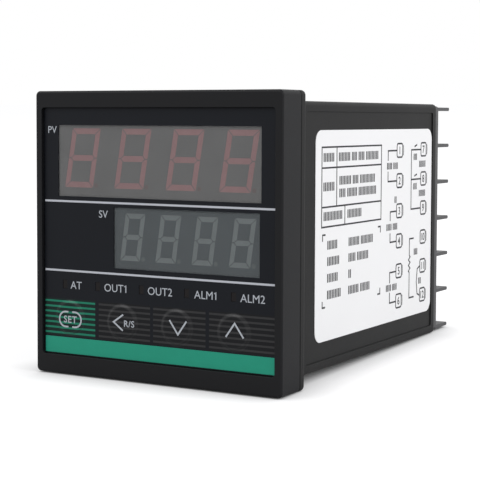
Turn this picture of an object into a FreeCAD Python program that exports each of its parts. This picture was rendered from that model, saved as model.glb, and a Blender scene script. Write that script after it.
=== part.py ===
import FreeCAD, Part
import math
import os
from FreeCAD import Vector

os.makedirs("parts", exist_ok=True)

# Panel-mount temperature controller, in millimetres.
# X points right as seen from the front, Y to the rear and Z up.
# The origin is the centre of the plane where the back of the flange meets the panel.

# Front: square bezel, and the flange of the case behind it
face_size = 72.0
bezel_depth = 9.2
flange_thickness = 2.8
flange_overhang = 2.5
face_corner = 1.2
face_edge = 0.45
flange_rear_radius = 1.14
bezel_wall = 1.8
parting_chamfer = 0.25

# Recess in the bezel that holds the printed film, and the plate that carries it
frame_side = 2.0
frame_top = 4.2
frame_bottom = 4.8
recess_depth = 1.3
recess_corner = 0.8
plate_thickness = 1.5
film_thickness = 0.35
film_clearance = 0.15
print_thickness = 0.05
print_margin = 0.4

# Skirt of the bezel that plugs into the case, with a ledge for the display board
skirt_clearance = 0.25
skirt_wall = 1.2
skirt_reach = 8.0
tongue_width = 12.0
tongue_slit = 1.0
tongue_length = 7.0
ridge_height = 0.12
ridge_width = 1.0
ridge_length = 8.0
ridge_inset = 1.5
ledge_width = 0.9

# Case: square tube with guide rails, vents, bracket slots and catch windows
case_length = 86.5
case_wall = 1.8
case_corner = 1.2
case_rear_edge = 0.4
label_panel_start = 5.0
label_panel_end_margin = 2.4
label_panel_edge = 2.5
label_panel_depth = 0.3
label_panel_corner = 0.6
rail_start = 10.0
rail_end_margin = 11.5
rail_height = 2.3
rail_thickness = 1.2
rail_side_clearance = 0.2
vent_count = 7
vent_pitch = 5.0
vent_width = 1.6
vent_length = 18.0
vent_middle = 52.0
bracket_slot_width = 8.0
bracket_slot_length = 2.4
bracket_slot_spacing = 20.0
bracket_slot_place = 19.0
catch_width = 6.0
catch_length = 2.6
catch_spacing = 28.0
catch_end_margin = 6.5
catch_clearance = 0.2
catch_lug_share = 0.6

# Rows of the front: the keys and lamps at the foot, and above them the two displays,
# of which the upper one takes its share of the height that is left
key_zone_height = 21.6
upper_row_share = 0.5725
line_height = 0.5
band_height = 4.1

# Upper display: margins of its window in its row, and of the digits in the window
pv_left_margin = 4.65
pv_right_margin = 4.15
pv_top_margin = 4.4
pv_foot_margin = 1.3
pv_digit_left = 2.35
pv_digit_right = 4.25
pv_digit_top = 1.1
pv_digit_foot = 2.3
pv_digit_gap = 5.0
pv_stroke = 1.9

# Lower display, the same
sv_left_margin = 21.75
sv_right_margin = 4.55
sv_top_margin = 1.1
sv_foot_margin = 1.4
sv_digit_left = 1.325
sv_digit_right = 1.325
sv_digit_top = 1.3
sv_digit_foot = 2.1
sv_digit_gap = 3.15
sv_stroke = 1.5

# What both displays share
digit_count = 4
digit_slant = 8.0
segment_gap = 0.25
point_radius = 0.75
point_sides = 8
window_margin = 0.2
window_clearance = 0.05
module_depth = 8.1
module_clearance = 0.1
module_pocket = 1.5
module_side_wall = 1.0
module_end_wall = 0.5

# Keys: four square pushers under round domes in the film
key_names = ["set", "shift", "down", "up"]
first_key_inset = 8.2
last_key_inset = 11.5
key_rise = 9.6
dome_radius = 4.4
dome_top_radius = 4.0
dome_height = 0.35
dome_pocket_radius = 4.0
dome_pocket_sides = 12
dome_pocket_depth = 0.3
button_size = 5.2
button_clearance = 0.3
button_top_clearance = 0.06
button_flange_width = 1.2
button_flange_thickness = 0.8
button_flange_clearance = 0.1
stem_size = 3.8
switch_size = 6.0
switch_height = 3.5
plunger_size = 3.2
plunger_clearance = 0.15
plunger_height = 1.3
plunger_depth = 1.5
plunger_bore_depth = 2.4

# Indicator lamps in a row under the displays
lamp_names = ["at", "out1", "out2", "alm1", "alm2"]
first_lamp_inset = 6.6
second_lamp_inset = 16.8
last_lamp_inset = 11.6
lamp_drop = 3.5
lamp_width = 1.3
lamp_height = 2.1
lamp_foot = 0.5
lamp_foot_thickness = 0.8
lamp_clearance = 0.1
lamp_sink = 0.1
spacer_height = 3.6
spacer_depth = 4.2
spacer_overhang = 1.6

# Display board on the ledges, and two side boards that run to the rear
board_thickness = 1.6
display_board_clearance = 0.15
board_wall_gap = 9.7
board_edge_clearance = 0.25
board_end_clearance = 3.5
board_notch = 2.0
header_size = 2.5
header_length = 25.4
header_groove_count = 9
header_groove_width = 0.3
header_groove_depth = 0.4

# Terminal block at the rear, two columns of terminals between fins
terminal_rows = 6
block_inset = 0.5
block_corner = 1.0
block_groove = 0.9
block_groove_inset = 1.0
block_thickness = 1.9
spigot_clearance = 0.2
spigot_wall = 1.5
spigot_length = 9.0
fin_inset = 0.9
fin_thickness = 1.0
fin_length = 8.4
fin_width = 15.0
fin_root = 0.5
fin_edge = 0.35
terminal_inset = 7.0
boss_size = 5.2
boss_length = 4.2
boss_floor = 0.8
boss_pocket = 3.4

# Terminal contacts and screws
contact_thickness = 0.6
contact_plate_width = 7.6
contact_plate_inset = 2.0
contact_leg_gap = 1.4
contact_leg_width = 4.0
contact_arm_length = 21.0
contact_bend_length = 5.0
contact_gap = 0.12
contact_slot_clearance = 0.1
screw_radius = 1.45
screw_clearance = 0.05
screw_length = 4.6
screw_head_radius = 2.8
screw_head_height = 1.9
screw_head_edge = 0.6
screw_head_sides = 16
thread_sides = 12
washer_size = 6.6
washer_thickness = 0.5

# Label on the right side of the case
label_front_margin = 4.9
label_rear_margin = 0.4
label_edge_margin = 4.6
label_thickness = 0.12
label_corner = 3.0

# Relays, one on each side board, near its upper edge and its rear end
relay_rear_gap = 11.3
relay_edge_gap = 4.5
relay_length = 15.4
relay_height = 19.0
relay_depth = 15.0
relay_edge = 0.7
relay_skirt = 1.2
relay_skirt_step = 0.3

# Transformer on the power board, near its lower edge
transformer_y = 30.0
transformer_edge_gap = 4.5
core_length = 20.0
core_height = 16.0
core_depth = 5.0
core_leg = 3.6
core_yoke = 3.2
core_standoff = 4.5
bobbin_flange = 0.9
bobbin_rim = 0.8
bobbin_clearance = 0.2
bobbin_wall = 0.8
bobbin_foot = 2.4
winding_height = 2.0
winding_inset = 0.6
winding_corner = 1.0

# Capacitors on the power board, near its lower edge
bulk_y = 14.0
bulk_radius = 6.3
bulk_length = 20.0
output_y = 44.0
output_radius = 4.0
output_length = 12.0
capacitor_edge_gap = 7.7
capacitor_shoulder = 0.6

# Varistor on the power board, near its upper edge
varistor_y = 28.0
varistor_edge_gap = 10.0
varistor_radius = 5.0
varistor_thickness = 3.6
varistor_lift = 0.5
varistor_root = 1.0
varistor_foot_width = 5.0
varistor_foot_thickness = 1.8

# Packaged chips, and the crystal of the controller
rectifier_y = 14.0
rectifier_z = 10.0
rectifier_length = 15.0
controller_y = 26.0
controller_z = -6.0
controller_length = 35.0
isolator_rear_gap = 17.5
isolator_z = -14.0
isolator_length = 9.0
chip_width = 6.6
chip_height = 3.3
chip_lift = 0.5
chip_lead_pitch = 2.54
chip_lead_width = 1.2
chip_lead_span = 0.5
crystal_y = 26.0
crystal_z = 6.0
crystal_length = 11.0
crystal_width = 4.6
crystal_height = 3.5
crystal_corner = 2.2

# Planes across the depth
front_y = -(bezel_depth + flange_thickness)
plate_front_y = front_y + recess_depth
plate_back_y = plate_front_y + plate_thickness
film_front_y = plate_front_y - film_thickness
board_front_y = plate_front_y + module_depth
board_back_y = board_front_y + board_thickness
block_front_y = case_length + block_groove
block_rear_y = block_front_y + block_thickness
fin_end_y = block_rear_y + fin_length
spigot_front_y = case_length - spigot_length
side_board_end_y = spigot_front_y - board_end_clearance
label_panel_end_y = case_length - label_panel_end_margin

# Squares that nest in one another
case_size = face_size - 2 * flange_overhang
case_inner = case_size - 2 * case_wall
skirt_outer = case_inner - 2 * skirt_clearance
skirt_inner = skirt_outer - 2 * skirt_wall
display_board_size = skirt_inner - 2 * display_board_clearance
spigot_outer = case_inner - 2 * spigot_clearance
block_size = case_size - 2 * block_inset
label_panel_height = case_size - 2 * label_panel_edge

# Recess and its rows
recess_left = -face_size / 2 + frame_side
recess_right = face_size / 2 - frame_side
recess_foot = -face_size / 2 + frame_bottom
recess_top = face_size / 2 - frame_top
lower_line_z = recess_foot + key_zone_height
upper_line_z = recess_top - (recess_top - lower_line_z) * upper_row_share
pv_window = (recess_left + pv_left_margin, recess_right - pv_right_margin,
             upper_line_z + pv_foot_margin, recess_top - pv_top_margin)
sv_window = (recess_left + sv_left_margin, recess_right - sv_right_margin,
             lower_line_z + sv_foot_margin, upper_line_z - sv_top_margin)

# Places of the keys, lamps, boards, what stands on them, and the terminals
key_z = recess_foot + key_rise
key_pitch = (recess_right - recess_left - first_key_inset - last_key_inset) / (len(key_names) - 1)
key_x = [recess_left + first_key_inset + key_pitch * i for i in range(len(key_names))]
lamp_z = lower_line_z - lamp_drop
lamp_pitch = (recess_right - recess_left - second_lamp_inset - last_lamp_inset) / (len(lamp_names) - 2)
lamp_x = [recess_left + first_lamp_inset]
lamp_x += [recess_left + second_lamp_inset + lamp_pitch * i for i in range(len(lamp_names) - 1)]
board_x = case_inner / 2 - board_wall_gap
board_inner_face = board_x - board_thickness / 2
board_half_height = skirt_inner / 2 - board_edge_clearance
terminal_pitch = (block_size - 2 * fin_inset) / terminal_rows
terminal_x = block_size / 2 - terminal_inset
relay_y = side_board_end_y - relay_rear_gap - relay_length / 2
relay_z = board_half_height - relay_edge_gap - relay_height / 2
transformer_z = -(board_half_height - transformer_edge_gap - core_length / 2)
varistor_z = board_half_height - varistor_edge_gap - varistor_radius
isolator_y = side_board_end_y - isolator_rear_gap - isolator_length / 2
row_z = [terminal_pitch * ((terminal_rows - 1) / 2 - i) for i in range(terminal_rows)]
fin_z = [terminal_pitch * (terminal_rows / 2 - i) for i in range(terminal_rows + 1)]


def block(x0, x1, y0, y1, z0, z1):
    # box between two corners, in either order
    low = Vector(min(x0, x1), min(y0, y1), min(z0, z1))
    return Part.makeBox(abs(x1 - x0), abs(y1 - y0), abs(z1 - z0), low)


def centred(x, z, width, height, y0, y1):
    # box centred on a point of the front
    return block(x - width / 2, x + width / 2, y0, y1, z - height / 2, z + height / 2)


def framed(window, grow, y0, y1):
    # box over one window of the front, larger by a margin on all sides
    x0, x1, z0, z1 = window
    return block(x0 - grow, x1 + grow, y0, y1, z0 - grow, z1 + grow)


def edges_along(shape, axis):
    # straight edges that run along one axis
    found = []
    for edge in shape.Edges:
        if len(edge.Vertexes) != 2:
            continue
        run = edge.Vertexes[1].Point - edge.Vertexes[0].Point
        if abs(run.normalize().dot(axis)) > 0.999:
            found.append(edge)
    return found


def edges_at_y(shape, y):
    # edges that lie in one plane across Y
    found = []
    for edge in shape.Edges:
        if abs(edge.BoundBox.YMin - y) < 1e-6 and abs(edge.BoundBox.YMax - y) < 1e-6:
            found.append(edge)
    return found


def rounded(x, z, width, height, y0, y1, radius):
    # box with its four corners along Y rounded
    shape = centred(x, z, width, height, y0, y1)
    return shape.makeFillet(radius, edges_along(shape, Vector(0, 1, 0)))


def rounded_side(x0, x1, y0, y1, height, radius):
    # plate on the side of the case, with its corners along X rounded
    shape = block(x0, x1, y0, y1, -height / 2, height / 2)
    return shape.makeFillet(radius, edges_along(shape, Vector(1, 0, 0)))


def prism(outline, y0, y1):
    # outline in X and Z pushed along Y
    points = [Vector(u, y0, v) for u, v in outline]
    face = Part.Face(Part.makePolygon(points + points[:1]))
    return face.extrude(Vector(0, y1 - y0, 0))


def polygon(x, z, radius, sides):
    # corners of a regular outline in X and Z, one flat of it level
    turns = [math.pi * (2 * i + 1) / sides for i in range(sides)]
    return [(x + radius * math.cos(turn), z + radius * math.sin(turn)) for turn in turns]


def joined(shapes):
    # one solid from several that meet
    return shapes[0].fuse(shapes[1:]).removeSplitter()


def without(shape, tools):
    # the shape with all the tools cut out of it
    return shape.cut(Part.makeCompound(tools))


def export(name, shape):
    shape.exportStep("parts/" + name + ".step")


def make_case():
    # moulded tube, open at both ends, with the flange that stops against the panel
    tube = rounded(0, 0, case_size, case_size, -flange_thickness, case_length, case_corner)
    tube = tube.makeChamfer(case_rear_edge, edges_at_y(tube, case_length))
    flange = rounded(0, 0, face_size, face_size, -flange_thickness, 0, face_corner)
    flange = flange.makeFillet(flange_rear_radius, edges_at_y(flange, 0))
    flange = flange.makeChamfer(parting_chamfer, edges_at_y(flange, -flange_thickness))
    bore = centred(0, 0, case_inner, case_inner, -flange_thickness, case_length)
    case = tube.fuse(flange).cut(bore).fuse(case_rails())
    return without(case, label_panels() + case_openings()).removeSplitter()


def label_panels():
    # shallow panels in both sides of the case
    panels = []
    for side in (-1, 1):
        face = side * case_size / 2
        inner = face - side * label_panel_depth
        outer = face + side * label_panel_depth
        panels.append(rounded_side(inner, outer, label_panel_start, label_panel_end_y, label_panel_height,
                                   label_panel_corner))
    return panels


def case_openings():
    # vents, slots for the panel brackets and windows for the catches, in the top and the bottom
    places = []
    for i in range(vent_count):
        places.append((vent_pitch * (i - (vent_count - 1) / 2), vent_middle, vent_width, vent_length))
    for hand in (-1, 1):
        places.append((hand * bracket_slot_spacing / 2, bracket_slot_place, bracket_slot_width,
                       bracket_slot_length))
        places.append((hand * catch_spacing / 2, case_length - catch_end_margin, catch_width, catch_length))
    openings = []
    for end in (-1, 1):
        inner = end * (case_inner / 2 - rail_height)
        outer = end * (case_size / 2 + case_wall)
        for x, y, width, length in places:
            openings.append(block(x - width / 2, x + width / 2, y - length / 2, y + length / 2,
                                  inner, outer))
    return openings


def case_rails():
    # pairs of ribs that guide the edges of the side boards
    rails = []
    groove_half = board_thickness / 2 + rail_side_clearance
    for hand in (-1, 1):
        for end in (-1, 1):
            for edge in (-1, 1):
                inner = hand * board_x + edge * groove_half
                outer = hand * board_x + edge * (groove_half + rail_thickness)
                root = end * (case_inner / 2 + case_wall / 2)
                tip = end * (case_inner / 2 - rail_height)
                rails.append(block(inner, outer, rail_start, case_length - rail_end_margin, root, tip))
    return rails


def make_bezel():
    # frame with a front plate, an outer wall that meets the flange, and a skirt that enters the case
    outer = rounded(0, 0, face_size, face_size, front_y, -flange_thickness, face_corner)
    outer = outer.makeChamfer(face_edge, edges_at_y(outer, front_y))
    outer = outer.makeChamfer(parting_chamfer, edges_at_y(outer, -flange_thickness))
    cavity_size = face_size - 2 * bezel_wall
    cavity = centred(0, 0, cavity_size, cavity_size, plate_back_y, -flange_thickness)
    bezel = outer.cut(cavity).cut(recess_box(0, front_y, plate_front_y))
    return without(bezel.fuse(bezel_skirt()), plate_openings()).removeSplitter()


def recess_box(gap, y0, y1):
    # the recess of the front between two planes, or what fills it with a gap all round
    width = recess_right - recess_left - 2 * gap
    height = recess_top - recess_foot - 2 * gap
    middle_x = (recess_left + recess_right) / 2
    middle_z = (recess_foot + recess_top) / 2
    return rounded(middle_x, middle_z, width, height, y0, y1, recess_corner)


def bezel_skirt():
    # square skirt with a flexing tongue on each side, and ledges inside for the display board
    root_y = plate_back_y - plate_thickness / 2
    skirt = centred(0, 0, skirt_outer, skirt_outer, root_y, skirt_reach)
    skirt = skirt.cut(centred(0, 0, skirt_inner, skirt_inner, root_y, skirt_reach))
    slits = []
    added = []
    for side in (-1, 1):
        for edge in (-1, 1):
            z = edge * (tongue_width + tongue_slit) / 2
            slits.append(block(side * skirt_inner / 2, side * skirt_outer / 2, skirt_reach - tongue_length,
                               skirt_reach, z - tongue_slit / 2, z + tongue_slit / 2))
        added.append(tongue_ridge(side))
        added.append(block(-skirt_inner / 2, skirt_inner / 2, root_y, board_front_y, side * skirt_inner / 2,
                           side * (skirt_inner / 2 - ledge_width)))
    return [without(skirt, slits)] + added


def tongue_ridge(side):
    # low ridge at the end of a tongue, which runs on the inside of the case
    root = side * (skirt_outer - skirt_wall) / 2
    tip = side * (skirt_outer / 2 + ridge_height)
    rear = skirt_reach - ridge_inset
    return block(root, tip, rear - ridge_width, rear, -ridge_length / 2, ridge_length / 2)


def plate_openings():
    # holes in the front plate for the display modules, the lamps and the buttons
    holes = []
    for window in (pv_window, sv_window):
        holes.append(framed(window, window_margin + module_clearance, plate_front_y, plate_back_y))
    for x in lamp_x:
        holes.append(centred(x, lamp_z, lamp_width + 2 * lamp_clearance, lamp_height + 2 * lamp_clearance,
                             plate_front_y, plate_back_y))
    key_hole = button_size + 2 * button_clearance
    for x in key_x:
        holes.append(centred(x, key_z, key_hole, key_hole, plate_front_y, plate_back_y))
    return holes


def make_film():
    # printed sheet in the recess, cut out at the displays and lamps and domed over each button
    film = recess_box(film_clearance, film_front_y, plate_front_y)
    domes = []
    cuts = []
    for x in key_x:
        base = Vector(x, film_front_y, key_z)
        domes.append(Part.makeCone(dome_radius, dome_top_radius, dome_height, base, Vector(0, -1, 0)))
        pocket = polygon(x, key_z, dome_pocket_radius, dome_pocket_sides)
        cuts.append(prism(pocket, plate_front_y - dome_pocket_depth, plate_front_y))
    for window in (pv_window, sv_window):
        cuts.append(framed(window, 0, film_front_y, plate_front_y))
    for x in lamp_x:
        cuts.append(centred(x, lamp_z, lamp_width + lamp_clearance, lamp_height + lamp_clearance,
                            film_front_y, plate_front_y))
    return without(film.fuse(domes), cuts).removeSplitter()


def make_pane(window):
    # smoked pane that lies on a display module, flush with the film
    return framed(window, -window_clearance, film_front_y, plate_front_y)


def printed(z, height):
    # field of ink on the film, from side to side
    left = recess_left + print_margin
    right = recess_right - print_margin
    return block(left, right, film_front_y - print_thickness, film_front_y, z - height / 2, z + height / 2)


def make_lines():
    # two silver lines, over and under the lower display
    return Part.makeCompound([printed(upper_line_z, line_height), printed(lower_line_z, line_height)])


def make_band():
    # green field along the foot of the film
    return printed(recess_foot + print_margin + band_height / 2, band_height)


def bar_outline(length, stroke):
    # segment with pointed ends, lying along its own first axis
    half = length / 2
    side = stroke / 2
    return [(-half, 0), (-half + side, side), (half - side, side), (half, 0), (half - side, -side),
            (-half + side, -side)]


def digit_outlines(x, z, width, height, stroke):
    # the seven segments and the point of one slanted digit, in X and Z
    lean = math.tan(math.radians(digit_slant))
    side = (width - stroke) / 2
    rise = (height - stroke) / 2
    bars = []
    for level in (-rise, 0, rise):
        bars.append([(u, level + v) for u, v in bar_outline(2 * side - 2 * segment_gap, stroke)])
    for across in (-side, side):
        for level in (-rise / 2, rise / 2):
            bars.append([(across + v, level + u) for u, v in bar_outline(rise - 2 * segment_gap, stroke)])
    outlines = [[(x + u + lean * v, z + v) for u, v in bar] for bar in bars]
    point_x = x + width / 2 + point_radius + segment_gap - lean * height / 2
    outlines.append(polygon(point_x, z - height / 2 + point_radius, point_radius, point_sides))
    return outlines


def light_bars(window, places, depth_y):
    # clear bars of all the digits of one display, from its face back to a depth
    left, right, foot, top, gap, stroke = places
    x0, x1, z0, z1 = window
    width = (x1 - x0 - left - right - gap * (digit_count - 1)) / digit_count
    height = z1 - z0 - foot - top
    middle_z = z0 + foot + height / 2
    bars = []
    for i in range(digit_count):
        middle_x = x0 + left + width / 2 + (width + gap) * i
        for outline in digit_outlines(middle_x, middle_z, width, height, stroke):
            bars.append(prism(outline, plate_front_y, depth_y))
    return bars


def make_display(window, places):
    # reflector housing with open slots, and the clear resin that fills it from behind
    x0, x1, z0, z1 = window
    slab_y = board_front_y - module_pocket
    body = framed(window, window_margin, plate_front_y, board_front_y)
    pocket = block(x0 + module_side_wall, x1 - module_side_wall, slab_y, board_front_y,
                   z0 + module_end_wall, z1 - module_end_wall)
    bars = light_bars(window, places, slab_y)
    housing = without(body, [pocket] + bars)
    resin = joined([pocket] + bars)
    return housing, resin


def make_spacer():
    # bar that stands the lamps off the display board
    return block(lamp_x[0] - spacer_overhang, lamp_x[-1] + spacer_overhang, board_front_y - spacer_depth,
                 board_front_y, lamp_z - spacer_height / 2, lamp_z + spacer_height / 2)


def make_lamp(x):
    # rectangular lamp on the spacer, its lens just behind the face of the film
    seat = board_front_y - spacer_depth
    shoulder = seat - lamp_foot_thickness
    foot = centred(x, lamp_z, lamp_width + 2 * lamp_foot, lamp_height + 2 * lamp_foot, shoulder, seat)
    lens = centred(x, lamp_z, lamp_width, lamp_height, film_front_y + lamp_sink, shoulder)
    return joined([foot, lens])


def make_switch(x):
    # square switch on the display board, with a bore for its plunger
    top = board_front_y - switch_height
    bore_size = plunger_size + 2 * plunger_clearance
    body = centred(x, key_z, switch_size, switch_size, top, board_front_y)
    return body.cut(centred(x, key_z, bore_size, bore_size, top, top + plunger_bore_depth))


def make_plunger(x):
    # square plunger, part in its bore
    top = board_front_y - switch_height
    return centred(x, key_z, plunger_size, plunger_size, top - plunger_height, top + plunger_depth)


def make_button(x):
    # pusher between the dome of the film and the plunger, kept in by its flange
    top = plate_front_y - dome_pocket_depth + button_top_clearance
    flange_front = plate_back_y + button_flange_clearance
    flange_rear = flange_front + button_flange_thickness
    flange_size = button_size + 2 * button_flange_width
    foot = board_front_y - switch_height - plunger_height
    head = centred(x, key_z, button_size, button_size, top, flange_front)
    flange = centred(x, key_z, flange_size, flange_size, flange_front, flange_rear)
    stem = centred(x, key_z, stem_size, stem_size, flange_front, foot)
    return joined([head, flange, stem])


def make_display_board():
    # square board behind the modules, on the ledges of the bezel
    return centred(0, 0, display_board_size, display_board_size, board_front_y, board_back_y)


def make_side_board(hand):
    # long board that slides in the rails, with its rear edge between the contacts
    x0 = hand * board_inner_face
    x1 = hand * (board_inner_face + board_thickness)
    board = block(x0, x1, board_back_y, side_board_end_y, -board_half_height, board_half_height)
    notches = []
    for end in (-1, 1):
        notches.append(block(x0, x1, board_back_y, board_back_y + board_notch, end * board_half_height,
                             end * (board_half_height - board_notch)))
    return without(board, notches)


def make_header(hand):
    # socket strip in the corner between the display board and a side board
    outer = hand * board_inner_face
    inner = hand * (board_inner_face - header_size)
    rear_y = board_back_y + header_size
    strip = block(outer, inner, board_back_y, rear_y, -header_length / 2, header_length / 2)
    grooves = []
    for i in range(header_groove_count):
        z = header_length * ((i + 1) / (header_groove_count + 1) - 0.5)
        grooves.append(block(inner, inner + hand * header_groove_depth, board_back_y, rear_y,
                             z - header_groove_width / 2, z + header_groove_width / 2))
    return without(strip, grooves)


def make_terminal_block():
    # rear moulding: plate, neck and spigot, screw bosses, and fins between the terminals
    plate = rounded(0, 0, block_size, block_size, block_front_y, block_rear_y, block_corner)
    neck_size = block_size - 2 * block_groove_inset
    neck = rounded(0, 0, neck_size, neck_size, case_length, block_front_y, block_corner)
    spigot = centred(0, 0, spigot_outer, spigot_outer, spigot_front_y, block_front_y)
    hollow_size = spigot_outer - 2 * spigot_wall
    hollow = centred(0, 0, hollow_size, hollow_size, spigot_front_y, block_front_y)
    fins = [make_fin(hand, z) for hand in (-1, 1) for z in fin_z]
    shell = joined([plate, neck, spigot] + fins).cut(hollow)
    return without(shell.fuse(screw_bosses() + catch_lugs()), terminal_cuts()).removeSplitter()


def make_fin(hand, z):
    # barrier between two terminals, with the edges of its free end broken
    outer = hand * block_size / 2
    inner = hand * (block_size / 2 - fin_width)
    half = fin_thickness / 2
    fin = block(inner, outer, block_rear_y - fin_root, fin_end_y, z - half, z + half)
    long_edges = edges_along(fin, Vector(1, 0, 0))
    ends = [edge for edge in long_edges if abs(edge.BoundBox.YMax - fin_end_y) < 1e-6]
    return fin.makeChamfer(fin_edge, ends)


def screw_bosses():
    # a square boss inside the plate behind each terminal
    bosses = []
    for hand in (-1, 1):
        for z in row_z:
            bosses.append(centred(hand * terminal_x, z, boss_size, boss_size, block_front_y - boss_length,
                                  block_rear_y))
    return bosses


def catch_lugs():
    # lugs on the spigot, ramped towards the front, that snap into the windows of the case
    lugs = []
    middle_y = case_length - catch_end_margin
    half_y = catch_length / 2 - catch_clearance
    half_x = catch_width / 2 - catch_clearance
    for end in (-1, 1):
        root = end * (spigot_outer - spigot_wall) / 2
        low = end * spigot_outer / 2
        tip = end * (case_inner / 2 + case_wall * catch_lug_share)
        for hand in (-1, 1):
            x = hand * catch_spacing / 2 - half_x
            outline = [Vector(x, middle_y - half_y, root), Vector(x, middle_y - half_y, low),
                       Vector(x, middle_y + half_y, tip), Vector(x, middle_y + half_y, root)]
            face = Part.Face(Part.makePolygon(outline + outline[:1]))
            lugs.append(face.extrude(Vector(2 * half_x, 0, 0)))
    return lugs


def terminal_cuts():
    # a slot for each contact's leg, and a square pocket in each boss that clears the end of the screw
    cuts = []
    slot_x = board_inner_face - contact_leg_gap + contact_thickness / 2
    slot_width = contact_thickness + 2 * contact_slot_clearance
    slot_height = contact_leg_width + 2 * contact_slot_clearance
    pocket_y = block_front_y - boss_length + boss_floor
    for hand in (-1, 1):
        for z in row_z:
            cuts.append(centred(hand * slot_x, z, slot_width, slot_height, case_length, block_rear_y))
            cuts.append(centred(hand * terminal_x, z, boss_pocket, boss_pocket, pocket_y, block_rear_y))
    return cuts


def make_contact(hand, z):
    # bent strip: a plate with the thread for its screw, a leg, and a sprung arm that meets the side board
    inner = board_inner_face - contact_leg_gap
    outer = inner + contact_thickness
    plate_y = block_rear_y + contact_thickness
    plate = block(hand * inner, hand * (block_size / 2 - contact_plate_inset), block_rear_y, plate_y,
                  z - contact_plate_width / 2, z + contact_plate_width / 2)
    thread = polygon(hand * terminal_x, z, screw_radius + screw_clearance, thread_sides)
    plate = plate.cut(prism(thread, block_rear_y, plate_y))
    reach = board_inner_face - contact_gap - outer
    tip = block_rear_y - contact_arm_length
    touch = tip + contact_bend_length / 2
    bend = tip + contact_bend_length
    middle_y = block_rear_y + contact_thickness / 2
    outline = [(inner, middle_y), (outer, middle_y), (outer, bend), (outer + reach, touch), (outer, tip),
               (inner, tip), (inner + reach, touch), (inner, bend)]
    points = [Vector(hand * x, y, z - contact_leg_width / 2) for x, y in outline]
    face = Part.Face(Part.makePolygon(points + points[:1]))
    return joined([plate, face.extrude(Vector(0, 0, contact_leg_width))])


def make_screw(hand, z):
    # pan-head screw with its square washer; head and thread are many-sided
    x = hand * terminal_x
    seat = block_rear_y + contact_thickness
    head_y = seat + washer_thickness
    top = head_y + screw_head_height
    head = prism(polygon(x, z, screw_head_radius, screw_head_sides), head_y, top)
    head = head.makeChamfer(screw_head_edge, edges_at_y(head, top))
    washer = centred(x, z, washer_size, washer_size, seat, head_y)
    shank = prism(polygon(x, z, screw_radius, thread_sides), head_y - screw_length, head_y)
    return joined([head, washer, shank])


def make_label():
    # bare sheet on the right side, in the recessed panel
    face_x = case_size / 2 - label_panel_depth
    return rounded_side(face_x, face_x + label_thickness, label_panel_start + label_front_margin,
                        label_panel_end_y - label_rear_margin, label_panel_height - 2 * label_edge_margin,
                        label_corner)


def on_board(hand, y, z, length, height, lift, depth):
    # box on the inner face of a side board, at a lift from it
    x0 = hand * (board_inner_face - lift)
    x1 = hand * (board_inner_face - lift - depth)
    return block(x0, x1, y - length / 2, y + length / 2, z - height / 2, z + height / 2)


def make_relay(hand):
    # sealed relay with a slightly wider foot
    step = 2 * relay_skirt_step
    foot = on_board(hand, relay_y, relay_z, relay_length, relay_height, 0, relay_skirt)
    cover = on_board(hand, relay_y, relay_z, relay_length - step, relay_height - step, relay_skirt,
                     relay_depth - relay_skirt)
    cover = cover.makeFillet(relay_edge, edges_along(cover, Vector(1, 0, 0)))
    return joined([foot, cover])


def make_core(hand):
    # two E halves that meet, with two windows for the winding
    core = on_board(hand, transformer_y, transformer_z, core_depth, core_length, core_standoff, core_height)
    window = (core_length - 2 * core_leg - core_yoke) / 2
    windows = []
    for side in (-1, 1):
        middle = transformer_z + side * (core_yoke + window) / 2
        windows.append(on_board(hand, transformer_y, middle, core_depth, window, core_standoff + core_leg,
                                core_height - 2 * core_leg))
    return without(core, windows)


def make_bobbin(hand):
    # winding round the middle leg of the core, and its feet on the board
    y = transformer_y
    z = transformer_z
    window = (core_length - 2 * core_leg - core_yoke) / 2
    lift = core_standoff + core_leg + bobbin_clearance
    reach = core_height - 2 * core_leg - 2 * bobbin_clearance
    width = core_yoke + 2 * (window - bobbin_clearance)
    hole_length = core_depth + 2 * bobbin_clearance
    length = hole_length + 2 * (bobbin_wall + winding_height)
    rim_length = length + 2 * bobbin_rim
    winding = on_board(hand, y, z, length, width - 2 * winding_inset, lift, reach)
    winding = winding.makeFillet(winding_corner, edges_along(winding, Vector(1, 0, 0)))
    low = on_board(hand, y, z, rim_length, width, lift, bobbin_flange)
    high = on_board(hand, y, z, rim_length, width, lift + reach - bobbin_flange, bobbin_flange)
    feet = []
    for side in (-1, 1):
        foot_y = y + side * (rim_length - bobbin_foot) / 2
        feet.append(on_board(hand, foot_y, z, bobbin_foot, width, 0, lift + bobbin_flange))
    hole = on_board(hand, y, z, hole_length, core_yoke + 2 * bobbin_clearance, lift, reach)
    return joined([winding, low, high] + feet).cut(hole)


def make_capacitor(hand, y, radius, length):
    # can that stands on the board, with a sloped shoulder at its top
    z = -(board_half_height - capacitor_edge_gap - radius)
    foot_x = hand * board_inner_face
    profile = [(0, 0), (radius, 0), (radius, length - capacitor_shoulder),
               (radius - capacitor_shoulder, length), (0, length)]
    points = [Vector(foot_x - hand * along, y, z + out) for out, along in profile]
    face = Part.Face(Part.makePolygon(points + points[:1]))
    return face.revolve(Vector(foot_x, y, z), Vector(1, 0, 0), 360)


def make_chip(hand, y, z, length):
    # moulded package with a row of leads along each side
    pieces = [on_board(hand, y, z, length, chip_width, chip_lift, chip_height)]
    count = int(length / chip_lead_pitch)
    for i in range(count):
        lead_y = y + chip_lead_pitch * (i - (count - 1) / 2)
        for side in (-1, 1):
            lead_z = z + side * (chip_width + chip_lead_span) / 2
            pieces.append(on_board(hand, lead_y, lead_z, chip_lead_width, chip_lead_span, 0,
                                   chip_lift + chip_height / 2))
    return joined(pieces)


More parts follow.
